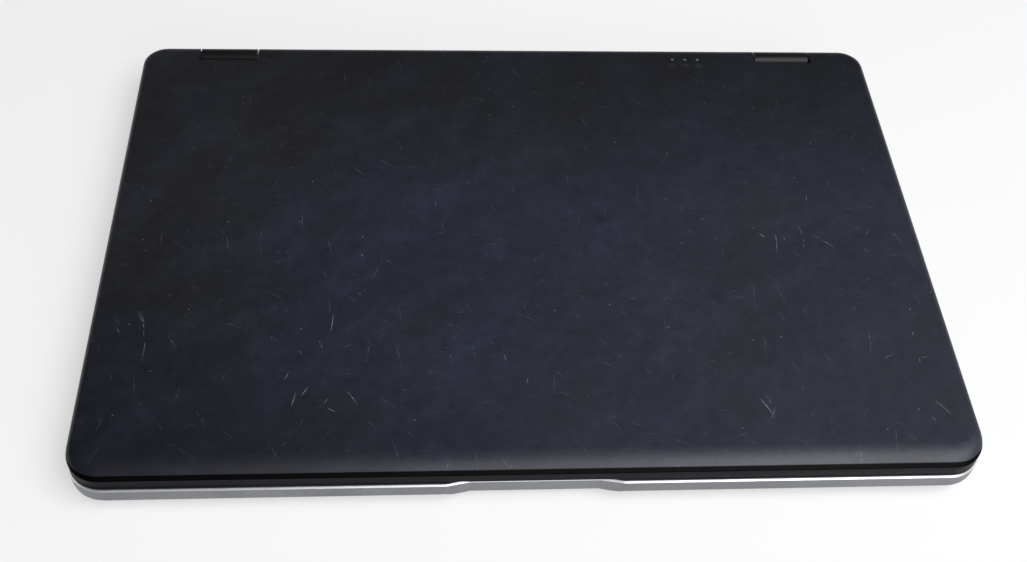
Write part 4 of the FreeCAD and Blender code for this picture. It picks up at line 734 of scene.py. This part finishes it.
lens = {"radius": 1.7, "thick": 0.08, "rings": (0.45, 0.3), "step": 0.025}        # millimetres


def makeLens():
    low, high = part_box("webcam_module")
    disc = startCylinder("lens", lens["radius"] * mm, low.z - lens["thick"] * mm, low.z, (low + high) / 2, 40)
    bpy.ops.object.mode_set(mode="EDIT")
    sinkFaces(facesDown, lens["rings"], lens["step"])        # steps in to the glass
    bpy.ops.object.mode_set(mode="OBJECT")
    joinPieces([disc], "webcam_lens", materials["glass"], "lid")


# screws, feet and socket contacts

screw = {        # millimetres
    "head": 1.0, "shank": 1.2, "rim": 0.25, "cross": 3.0, "arm": 0.65, "recess": 0.6,
}


def makeScrews():
    corners = loosePartBoxes("base_screws")
    low, high = corners[0]
    radius = (high.x - low.x) / 2
    pattern = startCylinder("screw_pattern", radius, 0.0, screw["head"] * mm)
    bpy.ops.object.mode_set(mode="EDIT")
    roundRim(facesDown, screw["rim"], 3)
    pick("FACE", facesUp)        # the shank rises from the back of the head
    bpy.ops.mesh.inset(thickness=radius - screw["shank"] * mm)
    rise = high.z - low.z - screw["head"] * mm
    bpy.ops.mesh.extrude_region_move(TRANSFORM_OT_translate={"value": (0, 0, rise)})
    bpy.ops.object.mode_set(mode="OBJECT")
    cross, arm = screw["cross"] * mm / 2, screw["arm"] * mm / 2
    for reachX, reachY in ((cross, arm), (arm, cross)):
        carve(pattern, startCube("cross", (-reachX, -reachY, -mm), (reachX, reachY, screw["recess"] * mm)))
    copies = []
    for low, high in corners:
        middle = (low + high) / 2
        copies.append(copyTo(pattern, "screw_copy", Matrix.Translation((middle.x, middle.y, low.z))))
    bpy.data.objects.remove(pattern)
    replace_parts(joinPieces(copies, "cross_head_screws", materials["steel"], "base"), "base_screws")


foot = {"round": 0.88, "rim": 0.35, "dishRings": (1.1,), "dish": 0.2}        # millimetres, round as a share


def makeFeet():
    corners = loosePartBoxes("rubber_feet")
    half = (corners[0][1] - corners[0][0]) / 2
    pattern = startCube("foot_pattern", (-half.x, -half.y, 0), (half.x, half.y, 2 * half.z))
    bpy.ops.object.mode_set(mode="EDIT")
    pick("EDGE", upright)
    bpy.ops.mesh.bevel(offset=half.y * foot["round"], segments=8, affect="EDGES")
    roundRim(facesDown, foot["rim"], 3)
    sinkFaces(facesDown, foot["dishRings"], foot["dish"])
    bpy.ops.object.mode_set(mode="OBJECT")
    copies = []
    for low, high in corners:
        middle = (low + high) / 2
        copies.append(copyTo(pattern, "foot_copy", Matrix.Translation((middle.x, middle.y, low.z))))
    bpy.data.objects.remove(pattern)
    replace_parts(joinPieces(copies, "moulded_feet", materials["rubber"], "base"), "rubber_feet")


def socketPlaces(node):        # where each socket's mouth lies and which way it looks
    places = []
    for low, high in loosePartBoxes(node):
        mouth = (low + high) / 2
        turn = 0
        if abs(mouth.x) > 140 * mm:        # a socket in a side of the case
            turn = 90 if mouth.x < 0 else -90
            mouth.x = low.x if mouth.x < 0 else high.x
        else:
            mouth.y = high.y
        places.append(Matrix.Translation(mouth) @ Matrix.Rotation(math.radians(turn), 4, "Z"))
    return places


tongue = {        # a moulded skin over each bare tongue, in millimetres back from the mouth
    "usb_ports": {"half": 5.53, "near": 0.7, "far": 13.4, "low": 0.02, "high": 1.88},
    "hdmi_port": {"half": 5.93, "near": 0.7, "far": 10.9, "low": -0.63, "high": 0.63},
    "rim": 0.25,
}


def makeTongues(node):
    look = tongue[node]
    pattern = startCube("tongue_pattern", (-look["half"] * mm, -look["far"] * mm, look["low"] * mm),
                        (look["half"] * mm, -look["near"] * mm, look["high"] * mm))
    bpy.ops.object.mode_set(mode="EDIT")
    roundRim(lambda face: face.normal.y > 0.95, tongue["rim"], 2)
    bpy.ops.object.mode_set(mode="OBJECT")
    skins = [copyTo(pattern, "tongue_copy", place) for place in socketPlaces(node)]
    bpy.data.objects.remove(pattern)
    joinPieces(skins, node + "_tongues", materials["nylon"], "base")


contacts = {        # millimetres back from the mouth and up from its middle
    "usb_ports": {"count": 4, "pitch": 2.3, "width": 1.0, "thick": 0.05, "near": 1.7, "far": 9.5,
                  "level": -0.03, "drop": 0.0},
    "hdmi_port": {"count": 9, "pitch": 1.0, "width": 0.45, "thick": 0.05, "near": 1.7, "far": 8.5,
                  "level": -0.68, "drop": 0.0},
    "network_port": {"count": 8, "pitch": 1.02, "width": 0.4, "thick": 0.3, "near": 2.5, "far": 11.0,
                     "level": 3.1, "drop": 2.6},
}


def makeContacts(node):
    look = contacts[node]
    half = look["width"] * mm / 2
    level = look["level"] * mm
    pattern = startCube("contact_pattern", (-half, -look["far"] * mm, level),
                        (half, -look["near"] * mm, level + look["thick"] * mm))
    bpy.ops.object.mode_set(mode="EDIT")
    pick("FACE", lambda face: face.normal.y > 0.95)        # the tip narrows
    bpy.ops.transform.resize(value=(0.6, 1, 1), center_override=(0, 0, 0))
    pick("FACE", lambda face: face.normal.y < -0.95)
    bpy.ops.transform.translate(value=(0, 0, -look["drop"] * mm))
    bpy.ops.mesh.select_all(action="SELECT")
    bpy.ops.mesh.bevel(offset=look["thick"] * 0.2 * mm, segments=2, affect="EDGES")
    bpy.ops.object.mode_set(mode="OBJECT")
    springs = []
    for place in socketPlaces(node):
        for index in range(look["count"]):
            aside = (index - (look["count"] - 1) / 2) * look["pitch"] * mm
            springs.append(copyTo(pattern, "spring", place @ Matrix.Translation((aside, 0, 0))))
    bpy.data.objects.remove(pattern)
    joinPieces(springs, node + "_contacts", materials["gold"], "base")


# hinge shields

shield = {"gap": 0.4, "thick": 1.1, "tall": 5.4, "drop": 1.8, "rim": 0.3}        # millimetres


def makeShields():        # a dark strip in the lid's notch, so that no light shows past the barrel
    strips = []
    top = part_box("lid_back_cover")[1].z - shield["drop"] * mm
    for node in ("hinge_cover_left", "hinge_cover_right"):
        low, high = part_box(node)
        near = low.y - (shield["gap"] + shield["thick"]) * mm
        strip = startCube("shield", (low.x, near, top - shield["tall"] * mm),
                          (high.x, low.y - shield["gap"] * mm, top))
        bpy.ops.object.mode_set(mode="EDIT")
        roundRim(lambda face: face.normal.y > 0.95, shield["rim"], 2)
        bpy.ops.object.mode_set(mode="OBJECT")
        strips.append(strip)
    joinPieces(strips, "hinge_notch_shields", materials["nylon"], "lid")


makeKeys()
makeStick()
makeIcons()
makeLens()
makeScrews()
makeFeet()
makeShields()
for socketNode in ("usb_ports", "hdmi_port"):
    makeTongues(socketNode)
for socketNode in contacts:
    makeContacts(socketNode)
print("small pieces modelled")


# floor, light and camera

studio = {        # metres and watts
    "floorTone": "#f4f4f4", "floorSize": 6.0, "worldTone": "#f2f5fb", "worldLeft": 0.09, "worldRight": 0.3,
    "paperGlow": 0.55, "backdropTop": 0.32,
    "key": {"place": (0.55, -0.5, 1.2), "size": (1.1, 0.9), "power": 19.0},
    "front": {"place": (0.7, -1.7, 0.85), "size": (1.8, 0.35), "power": 9.0},
}


def makeFloor():
    bpy.ops.object.select_all(action="DESELECT")
    bpy.ops.mesh.primitive_plane_add(size=studio["floorSize"], location=(0, 0, 0))
    floor = bpy.context.object
    floor.name = "studio_floor"
    material, tree, shader, place = startMaterial("studio_paper")        # matt white paper sweep
    fibre = addNode(tree, "TexNoise", {"Scale": 1 / (30 * mm), "Detail": 2}, {"Vector": place}).outputs[0]
    tone = addNode(tree, "MapRange", {"To Min": 0.985, "To Max": 1.0}, {0: fibre}).outputs[0]
    paper = addNode(tree, "VectorMath", {0: linear(studio["floorTone"])[:3]}, {1: tone}, operation="MULTIPLY")
    tree.links.new(paper.outputs[0], shader.inputs["Base Color"])
    shader.inputs["Roughness"].default_value = 0.9
    shader.inputs["Specular IOR Level"].default_value = 0.0
    path = addNode(tree, "LightPath").outputs        # seen nearer to white, with the shadow kept
    seen = addNode(tree, "Math", links={0: path["Is Camera Ray"], 1: path["Is Transmission Ray"]},
                   operation="MAXIMUM").outputs[0]
    seen = addNode(tree, "Math", links={0: seen, 1: path["Is Glossy Ray"]}, operation="MAXIMUM").outputs[0]
    apart = addNode(tree, "VectorMath", links={0: place}, operation="LENGTH").outputs["Value"]
    glow = addNode(tree, "MapRange", {"From Min": 0.6, "From Max": 2.4, "To Min": studio["paperGlow"]},
                   {0: apart}).outputs[0]        # far paper fades into the backdrop
    seen = addNode(tree, "Math", links={0: seen, 1: glow}, operation="MULTIPLY").outputs[0]
    white = addNode(tree, "Emission", {"Color": (1, 1, 1, 1), "Strength": 1.0}).outputs[0]
    lit = addNode(tree, "MixShader", links={0: seen, 1: shader.outputs[0], 2: white}).outputs[0]
    below = addNode(tree, "NewGeometry").outputs["Backfacing"]        # clear when seen from below
    clear = addNode(tree, "BsdfTransparent").outputs[0]
    lit = addNode(tree, "MixShader", links={0: below, 1: lit, 2: clear}).outputs[0]
    tree.links.new(lit, tree.nodes["Material Output"].inputs["Surface"])
    floor.data.materials.append(material)


def makeLight():
    world = bpy.data.worlds.new("studio_world")
    bpy.context.scene.world = world
    world.use_nodes = True
    tree = world.node_tree
    tree.nodes.clear()
    path = addNode(tree, "LightPath").outputs
    seen = addNode(tree, "Math", links={0: path["Is Camera Ray"], 1: path["Is Transmission Ray"]},
                   operation="MAXIMUM").outputs[0]
    way = addNode(tree, "SeparateXYZ", links={0: addNode(tree, "TexCoord").outputs["Generated"]}).outputs
    backdrop = addNode(tree, "MapRange", {"From Min": studio["backdropTop"], "From Max": 0.12}, {0: way[2]})
    mirror = addNode(tree, "Math", links={0: path["Is Glossy Ray"], 1: backdrop.outputs[0]},
                     operation="MULTIPLY").outputs[0]        # metal and glass show the white backdrop too
    seen = addNode(tree, "Math", links={0: seen, 1: mirror}, operation="MAXIMUM").outputs[0]
    level = addNode(tree, "MapRange", {"From Min": -0.4, "From Max": 0.6, "To Min": studio["worldLeft"],
                                       "To Max": studio["worldRight"]}, {0: way[0]}).outputs[0]
    soft = addNode(tree, "Background", {"Color": linear(studio["worldTone"])}, {"Strength": level}).outputs[0]
    white = addNode(tree, "Background", {"Color": (1, 1, 1, 1), "Strength": 1.0}).outputs[0]
    either = addNode(tree, "MixShader", links={0: seen, 1: soft, 2: white}).outputs[0]
    addNode(tree, "OutputWorld", links={"Surface": either})

    for name in ("key", "front"):
        box = studio[name]
        bpy.ops.object.light_add(type="AREA", location=box["place"])
        lamp = bpy.context.object
        lamp.name = name + "_softbox"
        lamp.data.shape = "RECTANGLE"
        lamp.data.size, lamp.data.size_y = box["size"]
        lamp.data.energy = box["power"]
        lamp.rotation_euler = (-lamp.location).to_track_quat("-Z", "Y").to_euler()
    print("studio ready")


cameraFit = {        # millimetres and degrees, found by matching the lid's four edges in the photograph
    "focalPixels": 1251.0, "imageWidth": 1027, "sensor": 36.0,
    "place": (-38.56, -340.34, 414.07), "turn": (38.712, -2.796, -2.7224),
}


def makeCamera():
    place = [value * mm for value in cameraFit["place"]]
    turn = [math.radians(value) for value in cameraFit["turn"]]
    bpy.ops.object.camera_add(location=place, rotation=turn)
    camera = bpy.context.object
    camera.name = "photo_camera"
    camera.data.sensor_fit = "HORIZONTAL"
    camera.data.sensor_width = cameraFit["sensor"]
    camera.data.lens = cameraFit["focalPixels"] / cameraFit["imageWidth"] * cameraFit["sensor"]
    camera.data.clip_start = 0.01
    bpy.context.scene.camera = camera
    bpy.context.scene.view_settings.view_transform = "Standard"
    print("camera ready")


makeFloor()
makeLight()
makeCamera()
